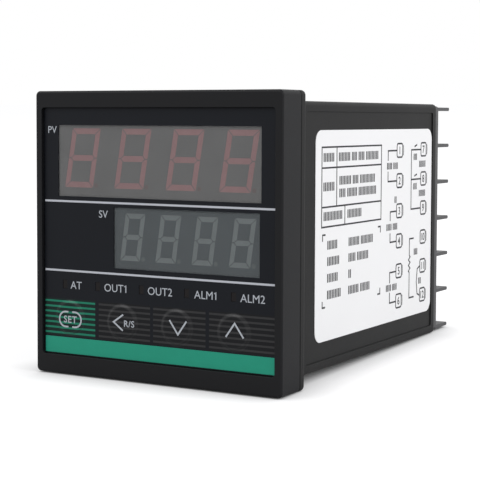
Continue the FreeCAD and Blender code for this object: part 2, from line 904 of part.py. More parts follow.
def make_varistor(hand):
    # flat round part on edge, with its foot on the board
    low = Vector(hand * (board_inner_face - varistor_lift - varistor_radius),
                 varistor_y - varistor_thickness / 2, varistor_z)
    coin = Part.makeCylinder(varistor_radius, varistor_thickness, low, Vector(0, 1, 0))
    foot = on_board(hand, varistor_y, varistor_z, varistor_foot_thickness, varistor_foot_width, 0,
                    varistor_lift + varistor_root)
    return joined([coin, foot])


def make_crystal(hand):
    # oval metal can
    can = on_board(hand, crystal_y, crystal_z, crystal_length, crystal_width, 0, crystal_height)
    return can.makeFillet(crystal_corner, edges_along(can, Vector(1, 0, 0)))


def export_case_side():
    export("case", make_case())
    export("terminal_block", make_terminal_block())
    export("side_label", make_label())
    terminals = [(hand, z) for hand in (-1, 1) for z in row_z]
    for number, (hand, z) in enumerate(terminals, 1):
        export("contact_%d" % number, make_contact(hand, z))
    export("terminal_screws", Part.makeCompound([make_screw(hand, z) for hand, z in terminals]))


def export_front():
    export("front_bezel", make_bezel())
    export("front_film", make_film())
    export("silver_lines", make_lines())
    export("green_band", make_band())
    pv_places = (pv_digit_left, pv_digit_right, pv_digit_foot, pv_digit_top, pv_digit_gap, pv_stroke)
    sv_places = (sv_digit_left, sv_digit_right, sv_digit_foot, sv_digit_top, sv_digit_gap, sv_stroke)
    for name, window, places in (("pv", pv_window, pv_places), ("sv", sv_window, sv_places)):
        housing, resin = make_display(window, places)
        export(name + "_window", make_pane(window))
        export(name + "_display", housing)
        export(name + "_segments", resin)
    export("lamp_spacer", make_spacer())
    for name, x in zip(lamp_names, lamp_x):
        export("lamp_" + name, make_lamp(x))
    for name, x in zip(key_names, key_x):
        export(name + "_switch", make_switch(x))
        export(name + "_plunger", make_plunger(x))
        export(name + "_button", make_button(x))


def export_boards():
    power = -1
    signal = 1
    export("display_board", make_display_board())
    export("power_board", make_side_board(power))
    export("input_board", make_side_board(signal))
    export("power_header", make_header(power))
    export("input_header", make_header(signal))
    export("relay_alarm", make_relay(power))
    export("relay_output", make_relay(signal))
    export("transformer_core", make_core(power))
    export("transformer_bobbin", make_bobbin(power))
    export("bulk_capacitor", make_capacitor(power, bulk_y, bulk_radius, bulk_length))
    export("output_capacitor", make_capacitor(power, output_y, output_radius, output_length))
    export("rectifier", make_chip(power, rectifier_y, rectifier_z, rectifier_length))
    export("varistor", make_varistor(power))
    export("microcontroller", make_chip(signal, controller_y, controller_z, controller_length))
    export("isolator", make_chip(signal, isolator_y, isolator_z, isolator_length))
    export("crystal", make_crystal(signal))


export_case_side()
export_front()
export_boards()
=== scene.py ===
import math
import bmesh
import bpy
from mathutils import Matrix, Vector


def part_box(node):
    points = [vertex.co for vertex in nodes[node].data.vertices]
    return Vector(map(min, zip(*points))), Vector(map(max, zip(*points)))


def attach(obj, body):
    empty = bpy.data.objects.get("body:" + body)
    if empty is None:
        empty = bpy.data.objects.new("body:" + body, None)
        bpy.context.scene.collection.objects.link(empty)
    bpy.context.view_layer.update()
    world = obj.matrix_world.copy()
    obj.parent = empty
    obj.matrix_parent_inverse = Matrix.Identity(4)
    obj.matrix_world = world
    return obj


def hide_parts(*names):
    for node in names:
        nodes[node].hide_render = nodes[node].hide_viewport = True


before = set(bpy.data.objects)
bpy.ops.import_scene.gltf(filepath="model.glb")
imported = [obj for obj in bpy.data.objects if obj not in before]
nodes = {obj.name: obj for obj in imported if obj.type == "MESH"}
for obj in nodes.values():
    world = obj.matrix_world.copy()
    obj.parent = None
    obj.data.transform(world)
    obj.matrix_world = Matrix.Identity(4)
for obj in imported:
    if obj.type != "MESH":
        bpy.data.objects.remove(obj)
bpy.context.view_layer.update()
mm = 0.001

# Camera: about 36 cm from the part, 30 degrees round to its right, level with its upper half and
# looking slightly down, with the lens raised a little so that upright edges stay upright.
image_size = 480
focal_pixels = 1408.0
optical_axis_row = 200
camera_place = Vector((190.3, -297.7, 29.3)) * mm
camera_yaw, camera_pitch, camera_roll = 30.11, -3.33, -0.20


def moved(x, y, z):
    return Matrix.Translation((x, y, z))


def swung(degrees, axis):
    return Matrix.Rotation(math.radians(degrees), 4, axis)


bpy.ops.object.select_all(action="DESELECT")
bpy.ops.object.camera_add()
camera = bpy.context.object
camera.name = "camera"
aim = swung(camera_yaw, "Z") @ swung(camera_pitch, "X") @ swung(camera_roll, "Y") @ swung(90, "X")
camera.matrix_world = moved(*camera_place) @ aim
camera.data.lens = camera.data.sensor_width * focal_pixels / image_size
camera.data.shift_y = optical_axis_row / image_size - 0.5
bpy.context.scene.camera = camera
bpy.context.scene.view_settings.view_transform = "Standard"

# Stage: a pale floor that the front flange and the rear edge of the case rest on, so that it is tilted by
# less than two degrees, under two soft boxes and an even white surround. Nothing here is part of the object.
floor_size = 8.0
flange_foot = Vector((0, -1.1, -36.0)) * mm
case_foot = Vector((0, 86.1, -33.5)) * mm
floor_colour = (0.42, 0.42, 0.42, 1)
floor_seen_colour = (0.44, 0.44, 0.45, 1)
floor_seen_glow = 0.72
floor_mirrored = 0.5
# reach of the painted contact shadow that darkens the floor's glow next to the object
painted_shadow_reach = 13 * mm
surround_level = 0.62
# place and size of each soft box in metres, and its power in watts
soft_boxes = {"key_light": ((-0.55, -0.85, 0.95), 0.9, 5.2), "side_light": ((1.05, 0.15, 0.55), 0.8, 8.9)}


class Wire:
    """One value in a finish. Sums, products and comparisons of wires add Math nodes."""

    def __init__(self, tree, socket):
        self.tree = tree
        self.socket = socket

    def node(self, kind, settings, sockets, out=0):
        """Any other node: its settings first, then the values or wires of its sockets."""
        made = self.tree.nodes.new(kind)
        for name, value in settings.items():
            setattr(made, name, value)
        for key, value in sockets.items():
            if isinstance(value, Wire):
                self.tree.links.new(value.socket, made.inputs[key])
            else:
                made.inputs[key].default_value = value
        return Wire(self.tree, made.outputs[out]) if made.outputs else made

    def math(self, operation, first, second=0.0):
        return self.node("ShaderNodeMath", {"operation": operation}, {0: first, 1: second})

    def __add__(self, other):
        return self.math("ADD", self, other)

    def __radd__(self, other):
        return self.math("ADD", other, self)

    def __sub__(self, other):
        return self.math("SUBTRACT", self, other)

    def __rsub__(self, other):
        return self.math("SUBTRACT", other, self)

    def __mul__(self, other):
        return self.math("MULTIPLY", self, other)

    def __rmul__(self, other):
        return self.math("MULTIPLY", other, self)

    def __gt__(self, other):
        return self.math("GREATER_THAN", self, other)

    def __lt__(self, other):
        return self.math("LESS_THAN", self, other)

    def __abs__(self):
        return self.math("ABSOLUTE", self)

    def root(self):
        return self.math("SQRT", self)

    def either(self, other):
        return self.math("MAXIMUM", self, other)

    def fraction(self):
        return self.math("FRACT", self)

    def blend(self, low, high):
        """Colour between two, by this wire as the share of the second."""
        return self.node("ShaderNodeMix", {"data_type": "RGBA"}, {0: self, 6: low, 7: high}, 2)

    def along(self, axis):
        return self.node("ShaderNodeSeparateXYZ", {}, {0: self}, axis)

    def noise(self, size, detail=2.0):
        """Cloudy pattern from 0 to 1 with features of one size, in metres."""
        sockets = {"Vector": self, "Scale": 1 / size, "Detail": detail}
        return self.node("ShaderNodeTexNoise", {}, sockets, "Fac")

    def stretched(self, scale):
        return self.node("ShaderNodeMapping", {}, {"Vector": self, "Scale": scale})

    def relief(self, depth):
        return self.node("ShaderNodeBump", {}, {"Distance": depth, "Height": self})


def new_finish(name):
    """An empty finish, and the place on the piece that its patterns follow."""
    finish = bpy.data.materials.new(name)
    finish.use_nodes = True
    finish.node_tree.nodes.clear()
    return finish, Wire(finish.node_tree, None).node("ShaderNodeTexCoord", {}, {}, "Object")


def seen_by_camera(start, mirrored=1.0):
    """1 for what the camera sees, also through glass, a share for a reflection, and 0 for light on things."""
    path = start.node("ShaderNodeLightPath", {}, {}, "Is Camera Ray")
    rays = path.socket.node.outputs
    glossy = Wire(start.tree, rays["Is Glossy Ray"]) * mirrored
    return path.either(glossy).either(Wire(start.tree, rays["Is Transmission Ray"]))


bpy.ops.object.select_all(action="DESELECT")
bpy.ops.mesh.primitive_plane_add(size=floor_size)
floor = bpy.context.object
floor.name = "floor"
slope = math.atan2(case_foot.z - flange_foot.z, case_foot.y - flange_foot.y)
floor.matrix_world = moved(*flange_foot) @ Matrix.Rotation(slope, 4, "X")
floor_finish, start = new_finish("pale_floor")
plain = start.node("ShaderNodeBsdfDiffuse", {}, {"Color": floor_colour})
seen = start.node("ShaderNodeBsdfDiffuse", {}, {"Color": floor_seen_colour})
# painted contact shadow: ambient occlusion dims the glow the camera sees where the floor is near the object
painted_shadow_factor = start.node("ShaderNodeAmbientOcclusion", {}, {"Distance": painted_shadow_reach}, "AO")
white = painted_shadow_factor.blend((0, 0, 0, 1), (1, 1, 1, 1))
glow = start.node("ShaderNodeEmission", {}, {"Color": white, "Strength": floor_seen_glow})
lit = start.node("ShaderNodeAddShader", {}, {0: seen, 1: glow})
shown = start.node("ShaderNodeMixShader", {}, {0: seen_by_camera(start, floor_mirrored), 1: plain, 2: lit})
start.node("ShaderNodeOutputMaterial", {}, {"Surface": shown})
floor.data.materials.append(floor_finish)

surround = bpy.data.worlds.new("surround")
bpy.context.scene.world = surround
surround.use_nodes = True
surround.node_tree.nodes.clear()
start = Wire(surround.node_tree, None)
level = seen_by_camera(start) * (1 - surround_level) + surround_level
white = start.node("ShaderNodeBackground", {}, {"Color": (1, 1, 1, 1), "Strength": level})
start.node("ShaderNodeOutputWorld", {}, {"Surface": white})

for name, (place, size, power) in soft_boxes.items():
    turn = (-Vector(place)).to_track_quat("-Z", "Y").to_euler()
    bpy.ops.object.light_add(type="AREA", location=place, rotation=turn)
    lamp = bpy.context.object
    lamp.name = name
    lamp.data.size = size
    lamp.data.energy = power

# Case: a square tube moulded in black plastic from a spark-eroded mould, with the flange that stops against
# the panel, shallow panels in its sides, and vents and bracket slots in its top and bottom.
sharp_angle = math.radians(25)
weld_distance = 0.001 * mm
flat_angle = math.radians(0.5)
case_colour = (0.0085, 0.0085, 0.0088, 1)
case_skin = 33.1 * mm
case_edge_radius = 0.11 * mm


def choose_only(piece):
    bpy.ops.object.select_all(action="DESELECT")
    piece.select_set(True)
    bpy.context.view_layer.objects.active = piece


def moulded_copy(node, name):
    """New piece in the form of a CAD node, welded into one surface with its flat faces whole."""
    piece = bpy.data.objects.new(name, nodes[node].data.copy())
    bpy.context.scene.collection.objects.link(piece)
    piece.data.materials.clear()
    choose_only(piece)
    if piece.data.has_custom_normals:
        bpy.ops.mesh.customdata_custom_splitnormals_clear()
    bpy.ops.object.mode_set(mode="EDIT")
    bpy.ops.mesh.select_all(action="SELECT")
    bpy.ops.mesh.remove_doubles(threshold=weld_distance)
    bpy.ops.mesh.dissolve_limited(angle_limit=flat_angle)
    bpy.ops.object.mode_set(mode="OBJECT")
    return piece


def round_edges(piece, radius, segments=2, chosen=lambda middle: True):
    """Rounds those sharp edges of a piece whose middle point passes a test."""
    choose_only(piece)
    bpy.ops.object.mode_set(mode="EDIT")
    bpy.ops.mesh.select_mode(type="EDGE")
    bpy.ops.mesh.select_all(action="DESELECT")
    shape = bmesh.from_edit_mesh(piece.data)
    for edge in shape.edges:
        if len(edge.link_faces) != 2 or edge.calc_face_angle() < sharp_angle:
            continue
        if chosen((edge.verts[0].co + edge.verts[1].co) / 2):
            edge.select_set(True)
    bmesh.update_edit_mesh(piece.data)
    bpy.ops.mesh.bevel(offset=radius, segments=segments, affect="EDGES", clamp_overlap=True)
    bpy.ops.object.mode_set(mode="OBJECT")


def smooth(piece, angle=35):
    """Smooth shading over round stretches, with the wide flat faces kept flat."""
    choose_only(piece)
    bpy.ops.object.shade_smooth_by_angle(angle=math.radians(angle))
    flat = piece.modifiers.new("flat", "WEIGHTED_NORMAL")
    flat.keep_sharp = True
    flat.weight = 100
    bpy.ops.object.modifier_apply(modifier=flat.name)


def fitted(piece, finish, slot, *replaced, body="chassis"):
    """Gives a finished piece its finish and its body, in place of the CAD nodes that it stands for."""
    piece.data.materials.append(finish)
    if replaced:
        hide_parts(*replaced)
    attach(piece, body)


def moulding(node, name, finish, slot, radius, segments=2, chosen=lambda middle: True, angle=35,
             body="chassis"):
    """Finished piece in the form of a CAD node, with rounded edges, in that node's place."""
    piece = moulded_copy(node, name)
    round_edges(piece, radius, segments, chosen)
    smooth(piece, angle)
    fitted(piece, finish, slot, node, body=body)
    return piece


def shaded(colour, share):
    return [share * c for c in colour[:3]] + [1]


def finished(finish, place, sockets):
    """The finish, with a surface that these sockets describe."""
    shader = place.node("ShaderNodeBsdfPrincipled", {}, sockets)
    place.node("ShaderNodeOutputMaterial", {}, {"Surface": shader})
    return finish


def moulded_plastic(name, colour, roughness, gloss, pit, depth):
    """Plastic from a spark-eroded mould: fine pits, slightly cloudy, a little shinier where it is smooth."""
    finish, place = new_finish(name)
    pits = place.noise(pit, 3.0)
    clouds = place.noise(30 * pit)
    return finished(finish, place, {
        "Base Color": (0.5 * pits + 0.5 * clouds).blend(shaded(colour, 0.82), shaded(colour, 1.22)),
        "Roughness": roughness - 0.12 + 0.16 * pits + 0.08 * clouds,
        "Specular IOR Level": gloss,
        "Normal": pits.relief(depth),
    })


case_finish = moulded_plastic("case_plastic", case_colour, 0.50, 0.18, 0.30 * mm, 0.006 * mm)
moulding("case", "case_shell", case_finish, "case_plastic", case_edge_radius, body="case",
         chosen=lambda p: max(abs(p.x), abs(p.z)) > case_skin)

# Label: a white polyester sheet stuck in the panel of the right side. Its print is a ruled table with bars
# for its entries, and a wiring diagram of two columns of six numbered terminals, in black ink.
ink_thickness = 0.02 * mm
label_ink_colour = (0.012, 0.012, 0.015, 1)
label_dull, label_bright = (0.85, 0.85, 0.865, 1), (0.90, 0.90, 0.915, 1)
table_left, table_right = 13.3, 48.7
table_rows = [22.15, 17.0, 7.2, 2.25]
table_dividers = [21.65, 21.65, 26.45]
table_line = 0.42
diagram_line = 0.44
terminal_box = 4.2
box_corner = 0.9
numeral_height = 2.1
terminal_columns = [60.9, 77.7]
terminal_top = 20.55
terminal_step = 8.35
terminal_count = 6
arc_gap, arc_width, arc_height = 0.15, 0.3, 1.5
bracket_left, bracket_right, bracket_top, bracket_foot = 13.9, 48.4, 0.3, -17.9
bracket_arm = 1.6
bus = 69.0
resistor_u, resistor_top, resistor_foot, resistor_width, resistor_turns = bus - 0.8, -9.2, -14.0, 1.1, 6
word_height = 2.2
note_height = 1.8
letter_step = 0.86
letter_share = 0.62
# level of each line of words, with the start and end of its words
words = {
    19.6: [(14.2, 20.4), (22.8, 29.6), (30.4, 33.6), (34.4, 38.2), (39.0, 46.9)],
    13.6: [(23.2, 30.2), (31.0, 34.6), (35.4, 44.8)],
    12.3: [(14.2, 20.6)],
    10.4: [(23.2, 27.0), (27.8, 33.8), (34.6, 45.6)],
    4.9: [(14.4, 25.2), (28.0, 36.6)],
    -2.4: [(16.6, 22.4), (28.8, 35.4), (36.2, 43.8)],
    -6.5: [(16.6, 23.6), (28.8, 33.2), (34.0, 41.0)],
    -10.7: [(16.6, 22.8), (28.8, 30.6)],
    -14.9: [(16.6, 24.6), (28.8, 35.2), (36.0, 42.0)],
    -8.4: [(71.4, 74.2)],
    -17.0: [(74.9, 76.9)],
}


def rectangle(left, foot, right, top):
    return [(left, foot), (right, foot), (right, top), (left, top)]


def arc(u, v, width, height, first, last, steps):
    """Points of an oval's edge, from one angle to another in degrees."""
    turns = [math.radians(first + (last - first) * i / steps) for i in range(steps + 1)]
    return [(u + width * math.cos(turn), v + height * math.sin(turn)) for turn in turns]


def rounded_outline(u, v, width, height, corner, steps=4):
    points = []
    for quarter, (side, end) in enumerate(((1, 1), (-1, 1), (-1, -1), (1, -1))):
        points += arc(u + side * (width / 2 - corner), v + end * (height / 2 - corner), corner, corner,
                      90 * quarter, 90 * (quarter + 1), steps)
    return points


def ribbon(points, width):
    """Closed outline of an open line drawn with a pen of one width, with mitred corners."""
    steps = [(Vector(b) - Vector(a)).normalized() for a, b in zip(points, points[1:])]
    sides = [Vector((-s.y, s.x)) for s in steps]
    left, right = [], []
    for i, point in enumerate(points):
        before, after = sides[max(i - 1, 0)], sides[min(i, len(sides) - 1)]
        mitre = (before + after).normalized()
        mitre *= width / 2 / mitre.dot(after)
        left.append(tuple(Vector(point) + mitre))
        right.append(tuple(Vector(point) - mitre))
    return left + right[::-1]


def artwork(outlines, thickness):
    """Flat form drawn as closed outlines, in millimetres; one outline within another leaves a hole."""
    drawing = bpy.data.curves.new("artwork", "CURVE")
    drawing.dimensions = "2D"
    drawing.fill_mode = "BOTH"
    drawing.extrude = thickness / 2
    for outline in outlines:
        spline = drawing.splines.new("POLY")
        spline.points.add(len(outline) - 1)
        for point, (u, v) in zip(spline.points, outline):
            point.co = (u * mm, v * mm, 0, 1)
        spline.use_cyclic_u = True
    piece = bpy.data.objects.new("artwork", drawing)
    bpy.context.scene.collection.objects.link(piece)
    choose_only(piece)
    bpy.ops.object.convert(target="MESH")
    return bpy.context.object


def lettering(text, cap_height, u, v, weight=0.012, spacing=1.0):
    """Flat inked characters with the middle of their outline at a place, in millimetres."""
    bpy.ops.object.select_all(action="DESELECT")
    bpy.ops.object.text_add()
    piece = bpy.context.object
    capital_share = 0.7
    piece.data.body = text
    piece.data.size = cap_height * mm / capital_share
    piece.data.offset = weight * piece.data.size
    piece.data.space_character = spacing
    piece.data.resolution_u = 3
    piece.data.extrude = ink_thickness / 2
    bpy.ops.object.convert(target="MESH")
    piece = bpy.context.object
    corners = [Vector(c) for c in piece.bound_box]
    middle = (corners[0] + corners[6]) / 2
    piece.data.transform(Matrix.Translation(Vector((u * mm, v * mm, 0)) - middle))
    return piece


def united(name, parts, place):
    """One piece from several, carried to its place, with each form closed and facing outwards."""
    choose_only(parts[0])
    for part in parts[1:]:
        part.select_set(True)
    bpy.ops.object.join()
    piece = bpy.context.object
    piece.name = name
    piece.data.name = name
    piece.data.transform(place)
    bpy.ops.object.mode_set(mode="EDIT")
    bpy.ops.mesh.select_all(action="SELECT")
    bpy.ops.mesh.remove_doubles(threshold=0.1 * weld_distance)
    bpy.ops.mesh.normals_make_consistent(inside=False)
    bpy.ops.object.mode_set(mode="OBJECT")
    return piece


def assembled(name, parts, place, finish, slot, *replaced, angle=None, body="chassis"):
    """Finished piece from several forms, smooth up to an angle if one is given."""
    piece = united(name, parts, place)
    if angle:
        smooth(piece, angle)
    fitted(piece, finish, slot, *replaced, body=body)


def dressed(node, finish):
    """Gives a CAD node that stays as it is its finish."""
    nodes[node].data.materials.clear()
    nodes[node].data.materials.append(finish)


def ink_finish(name, colour, roughness):
    """Screen-printed ink, a little uneven where the mesh of the screen let more or less through."""
    finish, place = new_finish(name)
    weave = place.noise(0.12 * mm, 1.0)
    patches = place.noise(2.5 * mm)
    thin = [min(1, 1.18 * c + 0.004) for c in colour[:3]] + [1]
    return finished(finish, place, {
        "Base Color": (0.6 * weave + 0.4 * patches).blend(colour, thin),
        "Roughness": roughness + 0.15 * weave,
        "Specular IOR Level": 0.35,
    })


def word(left, right, middle):
    """Row of small upright bars that stands for a word."""
    count = max(1, round((right - left) / letter_step))
    step = (right - left) / count
    half = (word_height if left < table_right else note_height) / 2
    return [rectangle(left + step * i, middle - half, left + step * (i + letter_share), middle + half)
            for i in range(count)]


half = table_line / 2
table = [rectangle(table_left - half, table_rows[-1] - half, table_right + half, table_rows[0] + half)]
for top, foot, divider in zip(table_rows, table_rows[1:], table_dividers):
    for left, right in ((table_left, divider), (divider, table_right)):
        table.append(rectangle(left + half, foot + half, right - half, top - half))
for u, side in ((bracket_left, 1), (bracket_right, -1)):
    for v, end in ((bracket_top, 1), (bracket_foot, -1)):
        table.append(ribbon([(u + side * bracket_arm, v), (u, v), (u, v - end * bracket_arm)], diagram_line))

terminal_z = [terminal_top - terminal_step * i for i in range(terminal_count)]
inner_edge, outer_edge = [column - terminal_box / 2 for column in terminal_columns]
boxes, diagram = [], []
for column in terminal_columns:
    for v in terminal_z:
        for inset in (0, diagram_line):
            size = terminal_box - 2 * inset
            boxes.append(rounded_outline(column, v, size, size, box_corner - inset))
        bow = arc(column + terminal_box / 2 + arc_gap, v, arc_width, arc_height, -75, 75, 10)
        diagram.append(ribbon(bow, 0.7 * diagram_line))
entries = [(left, right, v) for v, spans in words.items() for left, right in spans]
entries.append((57.6, 59.2, terminal_z[2] + 3.2))
leads = []
for first, lead, stub in ((0, 53.1, 2.7), (2, 54.8, 2.5), (4, 54.8, 2.9)):
    for v, down in ((terminal_z[first], -1), (terminal_z[first + 1], 1)):
        leads.append([(lead, v + down * stub), (lead, v), (inner_edge, v)])
    middle = (terminal_z[first] + terminal_z[first + 1]) / 2
    entries += [(52.4, 56.0, middle), (56.6, 59.8, middle)]
leads.append([(outer_edge, terminal_z[0]), (bus, terminal_z[0]), (bus, terminal_z[2]),
              (outer_edge, terminal_z[2])])
leads.append([(bus + 0.55 * diagram_line, terminal_z[1]), (outer_edge, terminal_z[1])])
for v in terminal_z[:2]:
    leads.append([(71.2, v + 0.9), (73.0, v + 1.4)])
    entries += [(70.6, 73.2, v - 2.0), (74.6, 79.4, v - 4.1)]
zigzag = [(resistor_u, resistor_top)]
for i in range(resistor_turns):
    v = resistor_top + (resistor_foot - resistor_top) * (i + 0.5) / resistor_turns
    zigzag.append((resistor_u + resistor_width / 2 * (1, -1)[i % 2], v))
zigzag.append((resistor_u, resistor_foot))
leads.append([(71.2, terminal_z[3]), (resistor_u, terminal_z[3])] + zigzag
             + [(resistor_u, terminal_z[5]), (71.6, terminal_z[5])])
leads.append([(outer_edge, terminal_z[4]), (74.0, terminal_z[4] - 0.6), (73.4, -17.1),
              (74.0, terminal_z[5] + 0.6), (outer_edge, terminal_z[5])])
diagram += [ribbon(lead, diagram_line) for lead in leads]
letters = [letter for entry in entries for letter in word(*entry)]
parts = [artwork(outlines, ink_thickness) for outlines in (table + letters, boxes, diagram)]
for number in range(2 * terminal_count):
    column = terminal_columns[number // terminal_count]
    parts.append(lettering(str(number + 1), numeral_height, column, terminal_z[number % terminal_count]))
# turns a drawing so that it faces the front
facing = swung(90, "X")
label_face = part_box("side_label")[1].x
onto_label = moved(label_face + ink_thickness / 2, 0, 0) @ swung(90, "Z") @ facing
label_ink = ink_finish("label_ink", label_ink_colour, 0.5)
assembled("label_print", parts, onto_label, label_ink, "label_white", body="case")

label_finish, place = new_finish("label_sheet")
fibres = place.noise(0.5 * mm, 3.0)
clouds = place.noise(18 * mm)
dressed("side_label", finished(label_finish, place, {
    "Base Color": (0.4 * fibres + 0.6 * clouds).blend(label_dull, label_bright),
    "Roughness": 0.38 + 0.12 * clouds,
    "Normal": fibres.relief(0.004 * mm),
}))

# Terminal block: a grey-black moulding that snaps into the rear of the case, with seven fins down each side
# that keep the bared wires of neighbouring terminals apart.
block_colour = (0.050, 0.050, 0.053, 1)
block_edge_radius = 0.10 * mm
block_seen_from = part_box("case")[1].y + 0.5 * mm

block_finish = moulded_plastic("block_plastic", block_colour, 0.5, 0.6, 0.22 * mm, 0.005 * mm)
moulding("terminal_block", "terminal_moulding", block_finish, "block_plastic", block_edge_radius, body="case",
         chosen=lambda p: p.y > block_seen_from)

# Terminal contacts: twelve strips stamped from brass, nickel-plated and bent, each with a threaded plate
# outside, a leg through the block and a sprung arm that meets the edge of a side board.
contact_colour = (0.72, 0.68, 0.58, 1)
contact_edge_radius = 0.07 * mm


def metal(name, colour, roughness, grain, stretch=(1, 1, 1)):
    """Plated or bare metal with fine drawing marks along one direction and slightly duller patches."""
    finish, place = new_finish(name)
    marks = place.stretched(stretch).noise(grain)
    patches = place.noise(2.0 * mm, 3.0)
    return finished(finish, place, {
        "Base Color": (0.35 * marks + 0.65 * patches).blend(shaded(colour, 0.72), colour),
        "Metallic": 1.0,
        "Roughness": roughness + 0.18 * patches + 0.1 * marks,
        "Normal": marks.relief(0.004 * mm),
    })


contact_finish = metal("nickel_on_brass", contact_colour, 0.22, 0.15 * mm, (1, 0.1, 1))
for number in range(1, 13):
    moulding("contact_%d" % number, "contact_strip_%d" % number, contact_finish, "contact_metal",
             contact_edge_radius, body="case")

# Terminal screws: twelve zinc-plated pan-head screws with a cross recess, each with a captive square washer
# that clamps the wire, turned down a few threads into the contact's plate.
screw_sides = 32
screw_colour = (0.66, 0.67, 0.68, 1)
head_radius = 2.8
head_height = 1.9
head_rim = 0.75
head_flat = 0.9
washer_half = 3.3
washer_height = 0.5
washer_hole = 1.65
shank_radius = 1.45
thread_depth = 0.22
thread_pitch = 0.5
screw_end = -4.1
cross_length = 3.3
cross_width = 0.75
cross_depth = 1.1
cross_taper = 0.55
head_turn_step = 37
# for forms that are in their places before they are joined
as_made = Matrix.Identity(4)


def turned(profile, sides):
    """Form turned about Z: a disc pulled and resized from each radius and level in mm to the next."""
    radius, level = profile[0]
    bpy.ops.object.select_all(action="DESELECT")
    bpy.ops.mesh.primitive_circle_add(vertices=sides, radius=radius * mm, fill_type="NGON",
                                      location=(0, 0, level * mm), enter_editmode=True)
    for next_radius, next_level in profile[1:]:
        rise = (0, 0, (next_level - level) * mm)
        bpy.ops.mesh.extrude_region_move(TRANSFORM_OT_translate={"value": rise})
        share = next_radius / radius
        bpy.ops.transform.resize(value=(share, share, share), center_override=(0, 0, next_level * mm))
        radius, level = next_radius, next_level
    bpy.ops.mesh.select_all(action="SELECT")
    bpy.ops.mesh.normals_make_consistent(inside=False)
    bpy.ops.object.mode_set(mode="OBJECT")
    piece = bpy.context.object
    bpy.ops.object.transform_apply(location=True, rotation=True, scale=True)
    return piece


def placed(master, place):
    """Copy of a piece with a mesh of its own, carried to a place."""
    piece = bpy.data.objects.new("part", master.data.copy())
    bpy.context.scene.collection.objects.link(piece)
    piece.data.transform(place)
    return piece


def cut_away(piece, tool):
    """Takes the form of a tool out of a piece."""
    choose_only(piece)
    cut = piece.modifiers.new("cut", "BOOLEAN")
    cut.object = tool
    cut.operation = "DIFFERENCE"
    cut.solver = "EXACT"
    bpy.ops.object.modifier_apply(modifier=cut.name)
    bpy.data.objects.remove(tool)


def bored(piece, radius, low, high, u=0, v=0, sides=24):
    """Takes an upright round hole out of a piece, between two levels in millimetres."""
    drill = turned([(radius, low), (radius, high)], sides)
    drill.data.transform(moved(u * mm, v * mm, 0))
    cut_away(piece, drill)


def plate(width, height, low, high, corner):
    """Flat plate across Z with rounded corners, in millimetres."""
    bpy.ops.object.select_all(action="DESELECT")
    bpy.ops.mesh.primitive_cube_add(size=1, location=(0, 0, (low + high) / 2 * mm))
    piece = bpy.context.object
    piece.scale = (width * mm, height * mm, (high - low) * mm)
    bpy.ops.object.transform_apply(location=True, rotation=True, scale=True)
    round_edges(piece, corner * mm, 3, lambda p: min(abs(p.x), abs(p.y)) > 0.49 * min(width, height) * mm)
    return piece


def middle_of(node):
    """Middle of a node's box, across and up."""
    low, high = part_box(node)
    return (low.x + high.x) / 2, (low.z + high.z) / 2


head_profile = [(1.5, -0.02), (head_radius - 0.1, 0), (head_radius, 0.12), (head_radius, head_rim)]
head_profile += arc(head_flat + 0.02, head_rim, head_radius - head_flat, head_height - head_rim, 15, 90, 5)
head_top = washer_height + head_height
head = turned([(r, z + washer_height) for r, z in head_profile], screw_sides)
for turn in (0, 90):
    blade = turned([(0.5, head_top - cross_depth), (0.5, head_top + 0.3)], 4)
    for vertex in blade.data.vertices:
        spread = 1 if vertex.co.z > head_top * mm else cross_taper
        vertex.co.x = math.copysign(cross_length / 2 * spread, vertex.co.x + vertex.co.y) * mm
        vertex.co.y = math.copysign(cross_width / 2 * spread, vertex.co.y - vertex.co.x) * mm
    blade.data.transform(swung(turn, "Z"))
    cut_away(head, blade)
washer = plate(2 * washer_half, 2 * washer_half, 0.02, washer_height, 0.5)
bored(washer, washer_hole, -0.5, 1.0, sides=screw_sides)
round_edges(washer, 0.08 * mm, 2, lambda p: p.z > 0.4 * mm)
shank_profile = [(shank_radius - 0.5, screw_end)]
level = screw_end + 0.4
while level < 0.4:
    shank_profile += [(shank_radius - thread_depth, level), (shank_radius, level + thread_pitch / 2)]
    level += thread_pitch
shank = turned(shank_profile, 20)
screw_finish = metal("zinc_plate", screw_colour, 0.2, 0.3 * mm)
screw_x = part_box("terminal_screws")[1].x - washer_half * mm
for number in range(1, 13):
    x, z = middle_of("contact_%d" % number)
    seat = Vector((math.copysign(screw_x, x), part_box("contact_%d" % number)[1].y, z))
    place = Matrix.Translation(seat) @ swung(-90, "X")
    cap = placed(head, place @ swung(head_turn_step * number, "Z"))
    parts = [cap, placed(washer, place), placed(shank, place)]
    assembled("terminal_screw_%d" % number, parts, as_made, screw_finish, "screw_steel", "terminal_screws",
              angle=40, body="case")
for master in (head, washer, shank):
    bpy.data.objects.remove(master)

# Bezel: the square front frame, moulded in the same black plastic as the case, with a shallow recess for the
# printed film and a skirt behind that plugs into the case.
bezel_colour = (0.0078, 0.0080, 0.0093, 1)
bezel_edge_radius = 0.16 * mm
nearness = 0.01 * mm
face_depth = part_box("front_bezel")[0].y + 0.45 * mm + nearness

bezel_finish = moulded_plastic("bezel_plastic", bezel_colour, 0.5, 0.18, 0.26 * mm, 0.005 * mm)
moulding("front_bezel", "bezel_frame", bezel_finish, "bezel_plastic", bezel_edge_radius, 3,
         lambda p: p.y < face_depth)

